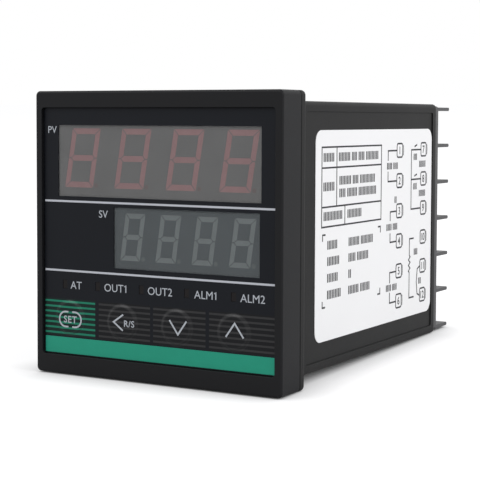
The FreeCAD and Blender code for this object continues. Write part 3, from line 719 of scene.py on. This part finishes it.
# Film: one sheet of black polycarbonate over the whole recess, printed from behind, cut out at the displays
# and lamps and pressed into four low domes. Fine lines fill the field of each key, green round the first.
film_black = (0.0058, 0.0070, 0.0104, 1)
key_names = ["set", "shift", "down", "up"]
key_fields = [(-33.7, -18.0), (-16.9, -1.4), (-0.5, 14.6), (15.6, 33.7)]
field_line_top = -17.55
field_line_step = 1.345
field_line_height = 0.5
field_lines = 7
set_line_colour = (0.020, 0.235, 0.145, 1)
set_field_colour = (0.0065, 0.020, 0.017, 1)
key_line_colour = (0.040, 0.040, 0.042, 1)
key_field_colour = (0.0075, 0.0078, 0.0095, 1)
dome_radius = 4.4 * mm
dome_edge_radius = 0.25 * mm
slope_start = 3.65
slope_end = 4.7

film_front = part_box("green_band")[1].y
key_middles = [middle_of(name + "_button") for name in key_names]


def on_a_dome(point):
    reach = min(math.hypot(point.x - x, point.z - z) for x, z in key_middles)
    return point.y < film_front + nearness and 0.8 * dome_radius < reach < 1.1 * dome_radius


film_finish, place = new_finish("printed_film")
x = place.along("X") * (1 / mm)
z = place.along("Z") * (1 / mm)
line = (field_line_top - z) * (1 / field_line_step)
in_rows = (line > -0.5) * (line < field_lines - 0.5)
near_line = abs((line + 0.5).fraction() - 0.5) < 0.5 * field_line_height / field_line_step
fields = [(x > left) * (x < right) * in_rows for left, right in key_fields]
others = fields[1].either(fields[2]).either(fields[3])
slope = x * 0.0
for u, v in key_middles:
    across = x - u / mm
    along = z - v / mm
    reach = (across * across + along * along).root()
    slope = slope.either((reach > slope_start) * (reach < slope_end))
texture = place.noise(0.16 * mm)
clouds = place.noise(14 * mm)
colour = clouds.blend(film_black, shaded(film_black, 1.2))
colour = others.blend(colour, near_line.blend(key_field_colour, key_line_colour))
colour = fields[0].blend(colour, near_line.blend(set_field_colour, set_line_colour))
finished(film_finish, place, {
    "Base Color": colour,
    "Roughness": 0.36 + 0.12 * texture + 0.06 * clouds,
    "Specular IOR Level": 0.16,
    "Coat Weight": 0.25 * slope,
    "Coat Roughness": 0.18,
    "Normal": texture.relief(0.002 * mm),
})
moulding("front_film", "printed_film", film_finish, "film_black", dome_edge_radius, 5, on_a_dome, 40)

# Print on the film: two silver lines and a green field, and light grey legends that say what each display
# and lamp shows, with the signs of the four keys on their domes.
legend_colour = (0.50, 0.53, 0.58, 1)
silver_colour = (0.56, 0.58, 0.64, 1)
green_colour = (0.010, 0.315, 0.205, 1)
lamp_legend_level = -13.2
lamp_legend_height = 1.95
legends = [("PV", -31.2, 26.2, 1.8), ("SV", -15.4, 5.2, 1.85)]
for text, u in (("AT", -23.9), ("OUT1", -11.8), ("OUT2", 1.5), ("ALM1", 14.5), ("ALM2", 27.6)):
    legends.append((text, u, lamp_legend_level, lamp_legend_height))
flag_length = 0.62
flag_drop = 0.5
sign_line = 0.42
sign_height = 2.0
arrow_half_width = 2.45
arrow_half_height = 1.7
ring_half_width = 3.4
ring_half_height = 1.92
ring_gap = 0.6
sign_drop = 0.4
set_offset, down_offset, up_offset, up_lift = 0.28, 0.55, 0.42, 0.55

onto_film = moved(0, film_front - ink_thickness / 2, 0) @ facing
parts = []
for text, u, v, height in legends:
    letters = lettering(text, height, u, v, 0.0)
    parts.append(letters)
    if text.endswith("1"):
        right = max(vertex.co.x for vertex in letters.data.vertices) / mm
        top = v + height / 2
        flag = [(right - 0.12, top - 0.08), (right - flag_length, top - flag_drop)]
        parts.append(artwork([ribbon(flag, 0.2)], ink_thickness))
legend_finish = ink_finish("legend_ink", legend_colour, 0.4)
assembled("legends", parts, onto_film, legend_finish, "print_silver")

dome_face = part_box("front_film")[0].y
onto_domes = moved(0, dome_face - ink_thickness / 2, 0) @ facing
set_u, shift_u, down_u, up_u = [u / mm for u, v in key_middles]
set_u += set_offset
key_v = key_middles[1][1] / mm
sign_v = key_v - sign_drop
straight = ring_half_width - ring_half_height - ring_gap
signs = []
for side in (-1, 1):
    end = set_u + side * ring_gap
    middle = set_u + side * (ring_gap + straight)
    bow = arc(middle, sign_v, side * ring_half_height, ring_half_height, -90, 90, 12)
    signs.append([(end, sign_v - ring_half_height)] + bow + [(end, sign_v + ring_half_height)])
signs.append([(shift_u + 0.5, key_v + sign_height), (shift_u - 2.4, key_v),
              (shift_u + 0.4, key_v - sign_height)])
for middle, lift, way in ((down_u + down_offset, 0.0, -1), (up_u + up_offset, up_lift, 1)):
    ends = key_v + lift - way * arrow_half_height
    signs.append([(middle - arrow_half_width, ends), (middle, ends + 2 * way * arrow_half_height),
                  (middle + arrow_half_width, ends)])
parts = [artwork([ribbon(sign, sign_line) for sign in signs], ink_thickness),
         lettering("SET", 1.75, set_u, sign_v, 0.012, 1.1),
         lettering("R/S", 1.6, shift_u + 2.3, key_v - 0.2, 0.008, 1.08)]
assembled("key_signs", parts, onto_domes, legend_finish, "print_silver")
dressed("silver_lines", ink_finish("silver_ink", silver_colour, 0.42))
dressed("green_band", ink_finish("green_ink", green_colour, 0.42))

# Displays: two modules, each a grey reflector housing with slots that clear resin fills from behind, under
# smoked panes. The bars of a digit meet in mitres. Nothing is lit, so they show the tint of their own resin.
digit_count = 4
bar_gap = 0.12
bar_sink = 0.03 * mm
point_radius = 0.6
point_reach = 0.85
resin_bed = 1.5 * mm
housing_edge_radius = 0.12 * mm
pane_lift = 0.04 * mm
pane_edge_radius = 0.05 * mm
pane_cover = 0.22
pane_tints = {"pv": (0.060, 0.058, 0.060, 1), "sv": (0.046, 0.054, 0.057, 1)}
# slot of the resins; first digit's middle, pitch, level of the middle, width, height and stroke, in
# millimetres, and slant in degrees; colours of the housing, of the bars and of the points
displays = {
    "pv": ("segment_red", (-21.96, 15.2, 19.14, 8.7, 14.9, 1.45, 9.5),
           (0.370, 0.375, 0.375, 1), (0.80, 0.49, 0.50, 1), (0.42, 0.345, 0.345, 1)),
    "sv": ("segment_grey", (-6.76, 10.45, -0.25, 5.9, 11.8, 1.28, 8.2),
           (0.215, 0.240, 0.255, 1), (0.46, 0.51, 0.52, 1), (0.31, 0.345, 0.355, 1)),
}


def resin(name, colour, gloss):
    """Cast resin, clouded by the diffuser in it."""
    finish, place = new_finish(name)
    cloud = place.noise(1.4 * mm, 3.0)
    return finished(finish, place, {
        "Base Color": cloud.blend(shaded(colour, 0.8), colour),
        "Roughness": 0.3 + 0.15 * cloud,
        "Specular IOR Level": gloss,
    })


def smoked(name, colour):
    """Smoked pane: part of what is behind it shows through an even grey tint."""
    finish, place = new_finish(name)
    streaks = place.noise(9 * mm)
    return finished(finish, place, {
        "Base Color": streaks.blend(colour, shaded(colour, 1.25)),
        "Alpha": pane_cover,
        "Roughness": 0.3 + 0.1 * streaks,
        "Specular IOR Level": 0.35,
    })


for name, tint in pane_tints.items():
    pane = moulded_copy(name + "_window", name + "_pane")
    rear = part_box(name + "_window")[1].y - pane_lift
    for vertex in pane.data.vertices:
        vertex.co.y = min(vertex.co.y, rear)
    round_edges(pane, pane_edge_radius)
    smooth(pane)
    fitted(pane, smoked(name + "_pane_smoke", tint), "window_smoke", name + "_window")


def digit_bars(u, v, width, height, stroke, lean):
    """Seven bars of a leaning digit, as closed outlines in millimetres."""
    half, top = width / 2, height / 2
    tip, shoulder = half - stroke / 2 - bar_gap, half - stroke - bar_gap
    level = [(bar_gap - half, top), (half - bar_gap, top),
             (shoulder, top - stroke), (-shoulder, top - stroke)]
    upright = [(half, top - bar_gap), (half, bar_gap), (half - stroke / 2, bar_gap),
               (half - stroke, stroke / 2 + bar_gap), (half - stroke, top - stroke - bar_gap)]
    bars = [[(-tip, 0), (-shoulder, stroke / 2), (shoulder, stroke / 2),
             (tip, 0), (shoulder, -stroke / 2), (-shoulder, -stroke / 2)]]
    for end in (1, -1):
        bars.append([(x, end * z) for x, z in level])
        bars.append([(x, end * z) for x, z in upright])
        bars.append([(-x, end * z) for x, z in upright])
    return [[(u + x + lean * z, v + z) for x, z in bar] for bar in bars]


def slab(name, outlines, front, rear):
    """Solid form of outlines that face the front, from one depth to another."""
    place = moved(0, (front + rear) / 2, 0) @ facing
    return united(name, [artwork(outlines, rear - front)], place)


for name, (slot, digits, housing_colour, bar_colour, point_colour) in displays.items():
    first, pitch, level, width, height, stroke, slant = digits
    lean = math.tan(math.radians(slant))
    housing_finish = moulded_plastic(name + "_reflector", housing_colour, 0.6, 0.3, 0.2 * mm, 0.003 * mm)
    bar_resin = resin(name + "_resin", bar_colour, 0.5)
    low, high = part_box(name + "_display")
    bed_low, bed_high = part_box(name + "_segments")
    bars, points = [], []
    for i in range(digit_count):
        u = first + pitch * i
        bars += digit_bars(u, level, width, height, stroke, lean)
        drop = point_radius - height / 2
        u += width / 2 + point_reach + lean * drop
        points.append(arc(u, level + drop, point_radius, point_radius, 0, 330, 11))
    bed = [rectangle(bed_low.x / mm, bed_low.z / mm, bed_high.x / mm, bed_high.z / mm)]
    bed_front = high.y - resin_bed
    frame_outline = [rectangle(low.x / mm, low.z / mm, high.x / mm, high.z / mm)]
    housing = slab(name + "_reflector", frame_outline, low.y, high.y)
    round_edges(housing, housing_edge_radius, 2, lambda p: p.y < low.y + nearness)
    cut_away(housing, slab("tool", bars + points, low.y - resin_bed, high.y - resin_bed / 2))
    cut_away(housing, slab("tool", bed, bed_front, high.y + resin_bed))
    smooth(housing)
    fitted(housing, housing_finish, "display_grey", name + "_display")
    for piece, outlines, finish in (("_bars", bars, bar_resin),
                                    ("_points", points, resin(name + "_point_resin", point_colour, 0.5))):
        cast = slab(name + piece, outlines, low.y + bar_sink, bed_front)
        smooth(cast)
        fitted(cast, finish, slot, name + "_segments")
    back = slab(name + "_resin_bed", bed, bed_front, high.y)
    fitted(back, bar_resin, slot, name + "_segments")

# Lamps: five small rectangular lamps with dark red resin, on a black bar that stands them off the board.
lamp_names = ["at", "out1", "out2", "alm1", "alm2"]
black_colour = (0.014, 0.014, 0.015, 1)
lamp_colour = (0.0080, 0.0058, 0.0062, 1)

black_finish = moulded_plastic("black_moulding", black_colour, 0.5, 0.5, 0.25 * mm, 0.005 * mm)
lamp_finish = resin("lamp_resin", lamp_colour, 0.2)
for name in lamp_names:
    dressed("lamp_" + name, lamp_finish)
dressed("lamp_spacer", black_finish)

# Keys: four white buttons behind the domes, each on the plunger of a square push switch that is soldered to
# the display board. A flange keeps each button behind the front plate, and its edges are moulded round.
white_colour = (0.60, 0.60, 0.57, 1)
key_edge_radius = 0.2 * mm

white_finish = moulded_plastic("white_moulding", white_colour, 0.42, 0.5, 0.25 * mm, 0.004 * mm)
for name in key_names:
    for part, body, slot, finish in (("_button", name + "_key", "white_plastic", white_finish),
                                     ("_plunger", name + "_key", "white_plastic", white_finish),
                                     ("_switch", "chassis", "black_plastic", black_finish)):
        moulding(name + part, name + part + "_moulding", finish, slot, key_edge_radius, body=body)

# Headers: two black socket strips with a row of ten contacts, which join each side board to the display board
# at a right angle. The pins of a component are noted here for the soldered side of its board.
pin_pitch = 2.54
header_pins = 10
header_levels = [pin_pitch * (i - (header_pins - 1) / 2) for i in range(header_pins)]
header_edge_radius = 0.1 * mm
solder = {"power_board": [], "input_board": []}
footprints = {"power_board": [], "input_board": []}


def standing(node):
    """Board that a component stands on, its place there with Z away from the board and X to the rear, and its
    length, width and height in millimetres."""
    low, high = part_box(node)
    middle = (low + high) / 2
    board = "power_board" if middle.x < 0 else "input_board"
    inward = -math.copysign(1, middle.x)
    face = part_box(board)[1 if inward > 0 else 0].x
    turn = Matrix(((0, 0, inward), (1, 0, 0), (0, inward, 0))).to_4x4()
    size = ((high.y - low.y) / mm, (high.z - low.z) / mm, (high.x - low.x) / mm)
    return board, moved(face, middle.y, middle.z) @ turn, size


def pinned(node, pins):
    """Notes where a component's pins, in mm from its middle, pass through its board, and what it covers."""
    board, place, (length, width, _) = standing(node)
    for u, v in pins:
        at = place @ Vector((u * mm, v * mm, 0))
        solder[board].append((at.y / mm, at.z / mm))
    footprints[board].append((place.translation.y / mm, place.translation.z / mm, length, width))


for node in ("power_header", "input_header"):
    moulding(node, node + "_strip", black_finish, "black_plastic", header_edge_radius)
    pinned(node, [(0, level) for level in header_levels])

# Relays: two sealed relays, each a blue cover snapped over a slightly wider foot and closed with resin. A nib
# on its top was cut off after washing, and its five pins go through the board.
relay_colour = (0.012, 0.060, 0.235, 1)
relay_edge_radius = 0.3 * mm
nib_place = (-4.6, 6.4)
nib_profile = [(0.9, -0.05), (0.9, 0.22), (0.7, 0.32)]
relay_pins = [(-6.0, -7.6), (-6.0, 7.6), (6.0, 0.0), (6.0, -6.1), (6.0, 6.1)]

relay_finish = moulded_plastic("relay_cover", relay_colour, 0.42, 0.3, 0.3 * mm, 0.004 * mm)
for node in ("relay_alarm", "relay_output"):
    _, place, size = standing(node)
    cover = moulded_copy(node, node)
    round_edges(cover, relay_edge_radius, 3)
    nib = turned(nib_profile, 20)
    nib.data.transform(place @ moved(nib_place[0] * mm, nib_place[1] * mm, size[2] * mm))
    assembled(node + "_sealed", [cover, nib], as_made, relay_finish, "relay_blue", node, angle=35)
    pinned(node, relay_pins)

# Transformer: two ground E halves of grey-black ferrite, held together by a band of tape, round a moulded
# bobbin whose winding is wrapped in yellow polyester tape. It has four pins a side in the power board.
ferrite_colour = (0.045, 0.045, 0.050, 1)
tape_colour = (0.60, 0.36, 0.035, 1)
core_edge_radius = 0.35 * mm
bobbin_edge_radius = 0.12 * mm
band_thickness = 0.12
band_width = 3.8
band_corner = 0.4
winding_foot = 4.6 * mm
winding_top = 0.95 * mm
winding_inset = 0.5 * mm
foot_length = 2.5
foot_pin_pitch = 3.2

ferrite_finish = moulded_plastic("ferrite", ferrite_colour, 0.55, 0.45, 0.12 * mm, 0.006 * mm)
moulding("transformer_core", "transformer_halves", ferrite_finish, "ferrite", core_edge_radius, 3)


def wrapped_tape(name, colour):
    """Glossy polyester tape with the faint steps of its turns."""
    finish, place = new_finish(name)
    steps = place.stretched((1, 0.05, 0.05)).noise(0.5 * mm, 1.0)
    clouds = place.noise(3 * mm)
    return finished(finish, place, {
        "Base Color": (0.5 * steps + 0.5 * clouds).blend(shaded(colour, 0.7), colour),
        "Roughness": 0.22 + 0.15 * clouds,
        "Normal": steps.relief(0.02 * mm),
    })


tape_finish = wrapped_tape("polyester_tape", tape_colour)
core_low, core_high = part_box("transformer_core")
length, height = (core_high.x - core_low.x) / mm, (core_high.z - core_low.z) / mm
ring = [rounded_outline(0, 0, length + 2 * grow, height + 2 * grow, band_corner + grow)
        for grow in (band_thickness, 0)]
onto_core = Matrix.Translation((core_low + core_high) / 2) @ facing
band = artwork(ring, band_width * mm)
assembled("transformer_band", [band], onto_core, tape_finish, "winding_tape", angle=35)

bobbin = moulding("transformer_bobbin", "transformer_winding", tape_finish, "winding_tape",
                  bobbin_edge_radius)
bobbin.data.materials.append(black_finish)
low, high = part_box("transformer_bobbin")
half = (high.y - low.y) / 2
for face in bobbin.data.polygons:
    taped = core_low.x + winding_foot < face.center.x < high.x - winding_top
    if not taped or abs(face.center.y - (low.y + high.y) / 2) >= half - winding_inset:
        face.material_index = 1
pinned("transformer_bobbin", [(side * (2 * half / mm - foot_length) / 2, foot_pin_pitch * (i - 1.5))
                              for side in (-1, 1) for i in range(4)])

# Capacitors: two aluminium cans drawn in one piece, crimped over a rubber seal near the foot and covered by a
# printed sleeve, which leaves the scored top bare. Each stands on two leads.
sleeve_colour = (0.012, 0.016, 0.040, 1)
stripe_colour = (0.42, 0.44, 0.47, 1)
can_colour = (0.66, 0.66, 0.65, 1)
stripe_half_width = 1.3
dash_step = 4
score_depth = 0.15
score_width = 0.35
# inset from the radius, and level above the foot or drop below the top
can_foot = [(1.4, 0.5), (1.2, 0.15), (0.4, 0.0), (0.06, 0.3), (0, 0.8), (0, 1.9), (0.18, 2.2), (0.42, 2.6),
            (0.42, 2.9), (0.18, 3.3), (0, 3.6)]
can_top = [(0, 0.8), (0.1, 0.35), (0.35, 0.08), (0.7, 0), (0.95, 0.06), (1.0, 0.3)]


def sleeved_can(name, place, radius, length):
    """Printed sleeve with a pale stripe down one side, round a can whose top is bare."""
    finish, start = new_finish(name)
    at = start.node("ShaderNodeMapping", {}, {"Vector": start, "Location": [-c for c in place.translation]})
    height = abs(at.along("X"))
    y = at.along("Y")
    z = at.along("Z")
    top = (height > (length - 0.5) * mm) * (y * y + z * z < ((radius - 0.95) * mm) ** 2)
    stripe = (abs(y) < stripe_half_width * mm) * (z > 0)
    marks = (height * (1 / (dash_step * mm))).fraction() < 0.55
    dash = (abs(y) < 0.35 * stripe_half_width * mm) * marks
    cloud = start.noise(2 * mm)
    print_colour = (stripe * (1 - dash)).blend(sleeve_colour, stripe_colour)
    return finished(finish, start, {
        "Base Color": top.blend(print_colour, can_colour),
        "Metallic": top,
        "Roughness": 0.26 + 0.14 * cloud + 0.08 * top,
        "Normal": start.noise(0.4 * mm).relief(0.005 * mm),
    })


for node, lead_half_gap in (("bulk_capacitor", 2.5), ("output_capacitor", 1.75)):
    _, place, (_, width, length) = standing(node)
    radius = width / 2
    profile = [(radius - inset, level) for inset, level in can_foot]
    profile += [(radius - inset, length - drop) for inset, drop in can_top]
    can = turned(profile, 48)
    for turn in (45, 135):
        blade = plate(1.3 * radius, score_width, length - 0.3 - score_depth, length + 0.2, 0.05)
        blade.data.transform(swung(turn, "Z"))
        cut_away(can, blade)
    finish = sleeved_can(node + "_sleeve", place, radius, length)
    assembled(node + "_can", [can], place, finish, "capacitor_sleeve", node, angle=40)
    pinned(node, [(0, -lead_half_gap), (0, lead_half_gap)])

# Chips: three moulded packages with a notch at the end of their first pin. Two rows of tinned leads leave the
# sides, shoulder down to the board and narrow to go through it.
epoxy_colour = (0.016, 0.016, 0.017, 1)
tin_colour = (0.70, 0.70, 0.68, 1)
chip_lead_span = 0.5
chip_lift = 0.5
chip_draft = 0.93
chip_edge_radius = 0.12 * mm
lead_thickness = 0.26
lead_width = 1.3
leg_width = 0.5
leg_end = -0.4
notch_radius, notch_depth = 1.0, 0.5
dimple_radius, dimple_depth, dimple_margin = 0.55, 0.15, 2.0

epoxy_finish = moulded_plastic("chip_epoxy", epoxy_colour, 0.55, 0.45, 0.15 * mm, 0.006 * mm)
tin_finish = metal("tinned_lead", tin_colour, 0.24, 0.3 * mm)


def drafted(length, width, low, high):
    """Block across Z whose sides slope away from its middle level, as they leave a two-part mould."""
    half = 0.5 ** 0.5
    middle = (low + high) / 2
    narrow = chip_draft * half
    block = turned([(narrow, low), (half, middle - 0.1), (half, middle + 0.1), (narrow, high)], 4)
    block.data.transform(Matrix.Diagonal((length, width, 1, 1)) @ swung(45, "Z"))
    return block


for node in ("rectifier", "microcontroller", "isolator"):
    _, place, (length, width, height) = standing(node)
    body_width = width - 2 * chip_lead_span
    body = drafted(length, body_width, chip_lift, height)
    round_edges(body, chip_edge_radius)
    bored(body, notch_radius, height - notch_depth, height + 0.5, -length / 2)
    bored(body, dimple_radius, height - dimple_depth, height + 0.5,
          dimple_margin - length / 2, -0.3 * body_width, 20)
    assembled(node + "_package", [body], place, epoxy_finish, "black_plastic", node, angle=35)
    count = int(length / pin_pitch)
    middle = (chip_lift + height) / 2
    reach = width / 2 - lead_thickness / 2
    shoulder = [(body_width / 2 - 0.4, middle), (reach, middle), (reach, 0.9)]
    upper = artwork([ribbon(shoulder, lead_thickness)], lead_width * mm)
    leg = artwork([rectangle(width / 2 - lead_thickness, leg_end, width / 2, 0.95)], leg_width * mm)
    lead = united("lead", [upper, leg], Matrix(((0, 0, 1), (1, 0, 0), (0, 1, 0))).to_4x4())
    leads, pins = [], []
    for i in range(count):
        along = pin_pitch * (i - (count - 1) / 2)
        for turn, side in ((0, 1), (180, -1)):
            leads.append(placed(lead, moved(along * mm, 0, 0) @ swung(turn, "Z")))
            pins.append((along, side * reach))
    bpy.data.objects.remove(lead)
    assembled(node + "_leads", leads, place, tin_finish, "screw_steel", node, angle=35)
    pinned(node, pins)

# Varistor: a pressed disc dipped in blue epoxy, which runs a little way down its two leads.
varistor_colour = (0.020, 0.085, 0.300, 1)
lead_radius = 0.4
lead_half_gap = 2.2

_, place, (thickness, width, height) = standing("varistor")
radius = width / 2
rim = [(radius - 1.9, 0.02), (radius - 1.0, 0.16), (radius - 0.35, 0.55), (radius - 0.06, 1.1)]
disc = turned(rim + [(radius, thickness / 2)] + [(r, thickness - level) for r, level in rim[::-1]], 40)
disc.data.transform(moved(-thickness / 2 * mm, 0, (height - radius) * mm) @ swung(90, "Y"))
parts = [disc]
wires = []
for side in (-1, 1):
    aside = moved(0, side * lead_half_gap * mm, 0)
    run = turned([(lead_radius + 0.05, 0.5), (lead_radius + 0.3, 1.2), (lead_radius + 0.75, 2.2)], 16)
    run.data.transform(aside)
    parts.append(run)
    wire = turned([(lead_radius, leg_end), (lead_radius, 0.5), (lead_radius, 1.0)], 16)
    wire.data.transform(aside)
    wires.append(wire)
varistor_finish = resin("dipped_epoxy", varistor_colour, 0.6)
assembled("varistor_disc", parts, place, varistor_finish, "varistor_epoxy", "varistor", angle=50)
assembled("varistor_leads", wires, place, tin_finish, "screw_steel", "varistor", angle=50)
pinned("varistor", [(0, -lead_half_gap), (0, lead_half_gap)])

# Crystal: an oval can drawn from nickel silver and welded to the flange of its base.
nickel_silver_colour = (0.68, 0.67, 0.63, 1)
can_edge_radius = 0.4 * mm
flange_grow = 0.5
flange_height = 0.45
crystal_pin = 2.45

_, place, (length, width, height) = standing("crystal")
can = moulded_copy("crystal", "crystal_cover")
round_edges(can, can_edge_radius, 3, lambda p: abs(p.x) < abs(place.translation.x) - 0.5 * height * mm)
length, width = length + flange_grow, width + flange_grow
flange = artwork([rounded_outline(0, 0, length, width, width / 2 - 0.02, 8)], flange_height * mm)
flange.data.transform(place @ moved(0, 0, flange_height / 2 * mm))
crystal_finish = metal("nickel_silver", nickel_silver_colour, 0.25, 0.3 * mm, (1, 0.15, 1))
assembled("crystal_can", [can, flange], as_made, crystal_finish, "can_metal", "crystal", angle=35)
pinned("crystal", [(-crystal_pin, 0), (crystal_pin, 0)])

# Boards: glass laminate with green solder mask over etched copper tracks. One lies behind the displays, and
# the two side boards carry the components inwards, with gold-plated pads at the rear for the contact springs.
board_edge_radius = 0.06 * mm
mask_dark, mask_light = (0.006, 0.062, 0.026, 1), (0.009, 0.088, 0.038, 1)
laminate_dark, laminate_light = (0.16, 0.15, 0.055, 1), (0.26, 0.25, 0.11, 1)
track_colour = (0.030, 0.250, 0.110, 1)
solder_colour = (0.66, 0.66, 0.65, 1)
gold_colour = (0.80, 0.56, 0.20, 1)
board_print_colour = (0.62, 0.63, 0.60, 1)
copper_thickness = 0.035 * mm
layer_step = 0.003 * mm
track_width = 0.8
fine_track_width = 0.48
track_corner = 1.2
straight_limit = 0.05
via_reach, header_reach, display_reach = 4.0, 5.0, 3.5
display_zone = 15
ground_width = 2.6
ground_margin = 3.2
ground_start = 6.0
pad_length, pad_height, pad_corner = 7.6, 4.6, 0.5
pad_end_margin = 0.7
via_gap = 1.2
print_line = 0.2
print_grow = 0.5
joint_profile = [(0.95, 0.0), (0.72, 0.15), (0.48, 0.4), (0.36, 0.75), (0.34, 0.95), (0.22, 1.02)]
small_joint = 0.8
module_pin_inset = 1.8
switch_pin = (2.25, 3.25)
lamp_pin = 0.63
side_board_zone = (17.6, 24.0)


def laminate(name, axis, low, high):
    """Green mask on both faces of a board, and the bare glass and resin of its sawn edges between them."""
    finish, place = new_finish(name)
    depth = place.along(axis)
    edge = (depth > low + board_edge_radius) * (depth < high - board_edge_radius)
    weave = place.noise(0.4 * mm)
    clouds = place.noise(16 * mm)
    mask = (0.3 * weave + 0.7 * clouds).blend(mask_dark, mask_light)
    return finished(finish, place, {
        "Base Color": edge.blend(mask, weave.blend(laminate_dark, laminate_light)),
        "Roughness": 0.24 + 0.12 * weave + 0.3 * edge,
        "Normal": weave.relief(0.01 * mm),
    })


def blank_board(node, axis, low, high):
    """Bare board with its edges broken."""
    board = moulded_copy(node, node + "_laminate")
    round_edges(board, board_edge_radius, 1)
    fitted(board, laminate(node + "_mask", axis, low, high), "board_green", node)


def route(start, end, bend):
    """Track between two places: along the board, across at a bend with its corners cut, and along again."""
    (u0, v0), (u1, v1) = start, end
    corner = min(track_corner, abs(v1 - v0) / 2)
    on = math.copysign(corner, u1 - u0)
    over = math.copysign(corner, v1 - v0)
    if corner < straight_limit:
        return [start, (u1, v0)]
    points = [start, (bend, v0), (bend + on, v0 + over)]
    if abs(v1 - v0) > 2 * corner + straight_limit:
        points.append((bend + on, v1 - over))
    return points + [(bend + 2 * on, v1), end]


def nearest_routes(starts, ends, reach):
    """Tracks that join each start to the end most level with it that is still free and lies far enough on."""
    routes = []
    free = list(ends)
    for start in starts:
        ahead = [end for end in free if reach < abs(end[0] - start[0])]
        if not ahead:
            continue
        end = min(ahead, key=lambda e: abs(e[1] - start[1]) + 0.15 * abs(e[0] - start[0]))
        free.remove(end)
        span = abs(end[0] - start[0])
        back = min(2 * track_corner + 0.4 + 0.12 * abs(end[1] - start[1]), span - 0.4)
        routes.append(route(start, end, end[0] - math.copysign(back, end[0] - start[0])))
    return routes


def layered(lines):
    """Tracks, each a hair thicker than the last, so that where two cross neither hides in the other."""
    return [artwork([line], 2 * (copper_thickness + i * layer_step)) for i, line in enumerate(lines)]


def print_frame(u, v, width, height):
    """Outline of a printed rectangle."""
    sizes = [(width / 2 + grow, height / 2 + grow) for grow in (print_grow + print_line, print_grow)]
    return [rectangle(u - half, v - rise, u + half, v + rise) for half, rise in sizes]


def soldered(name, out, spots, size=1.0):
    """Solder joints that stand out of a board, one at each spot."""
    turn = Vector(out).to_track_quat("Z", "Y").to_matrix().to_4x4() @ Matrix.Scale(size, 4)
    joints = [placed(joint, Matrix.Translation(spot) @ turn) for spot in spots]
    assembled(name, joints, as_made, solder_finish, "screw_steel", angle=50)


joint = turned(joint_profile, 12)
solder_finish = metal("solder", solder_colour, 0.16, 0.5 * mm)
gold_finish = metal("gold_plate", gold_colour, 0.18, 0.3 * mm)
track_finish = ink_finish("masked_copper", track_colour, 0.25)
board_print_finish = ink_finish("board_print", board_print_colour, 0.5)
onto_side = swung(90, "Z") @ facing

for node, first in (("power_board", 1), ("input_board", 7)):
    low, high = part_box(node)
    inner, outer = (high.x, low.x) if low.x < 0 else (low.x, high.x)
    outward = math.copysign(1, outer)
    blank_board(node, "X", low.x, high.x)
    rear = high.y / mm - pad_end_margin
    rows = [middle_of("contact_%d" % number)[1] / mm for number in range(first, first + 6)]
    pads = [rounded_outline(rear - pad_length / 2, z, pad_length, pad_height, pad_corner) for z in rows]
    onto_inside = moved(inner - outward * copper_thickness / 2, 0, 0) @ onto_side
    assembled(node + "_pads", [artwork(pads, copper_thickness)], onto_inside, gold_finish, "contact_metal")
    vias = [(rear - pad_length - via_gap, z) for z in rows]
    header = [pin for pin in solder[node] if pin[0] < header_pins / 4]
    pins = [pin for pin in solder[node] if pin not in header]
    routes = nearest_routes(vias, pins, via_reach)
    taken = [way[-1] for way in routes]
    routes += nearest_routes(header, [pin for pin in pins if pin not in taken], header_reach)
    lines = [ribbon(way, track_width) for way in routes]
    ground_v = low.z / mm + ground_margin
    lines.append(ribbon([(ground_start, ground_v), (rear - pad_length, ground_v)], ground_width))
    onto_outside = moved(outer, 0, 0) @ onto_side
    assembled(node + "_tracks", layered(lines), onto_outside, track_finish, "board_green")
    frames = [outline for at in footprints[node] for outline in print_frame(*at)]
    for name, face, side in (("_print", inner, -outward), ("_rear_print", outer, outward)):
        lift = moved(face + side * (copper_thickness + ink_thickness / 2), 0, 0)
        printed = artwork(frames, ink_thickness)
        assembled(node + name, [printed], lift @ onto_side, board_print_finish, "label_white")
    soldered(node + "_joints", (outward, 0, 0), [(outer, y * mm, z * mm) for y, z in solder[node] + vias])

low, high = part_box("display_board")
blank_board("display_board", "Y", low.y, high.y)
pins = []
for node in ("pv_display", "sv_display"):
    module_low, module_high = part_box(node)
    count = int((module_high.x - module_low.x) / mm / pin_pitch) - 1
    for i in range(count):
        x = middle_of(node)[0] / mm + pin_pitch * (i - (count - 1) / 2)
        pins += [(x, module_low.z / mm + module_pin_inset), (x, module_high.z / mm - module_pin_inset)]
for u, v in key_middles:
    pins += [(u / mm + switch_pin[0] * side, v / mm + switch_pin[1] * end)
             for side in (-1, 1) for end in (-1, 1)]
for name in lamp_names:
    u, v = middle_of("lamp_" + name)
    pins += [(u / mm + lamp_pin * side, v / mm) for side in (-1, 1)]
pins = [pin for pin in pins if not side_board_zone[0] < abs(pin[0]) < side_board_zone[1]]
soldered("display_board_joints", (0, 1, 0), [(x * mm, high.y, z * mm) for x, z in pins], small_joint)
bpy.data.objects.remove(joint)
lines = []
for side in (-1, 1):
    starts = [(side * side_board_zone[0], level) for level in header_levels]
    ends = [pin for pin in pins if 0 < side * pin[0] < display_zone]
    lines += [ribbon(way, fine_track_width) for way in nearest_routes(starts, ends, display_reach)]
onto_rear = moved(0, high.y, 0) @ facing
assembled("display_board_tracks", layered(lines), onto_rear, track_finish, "board_green")
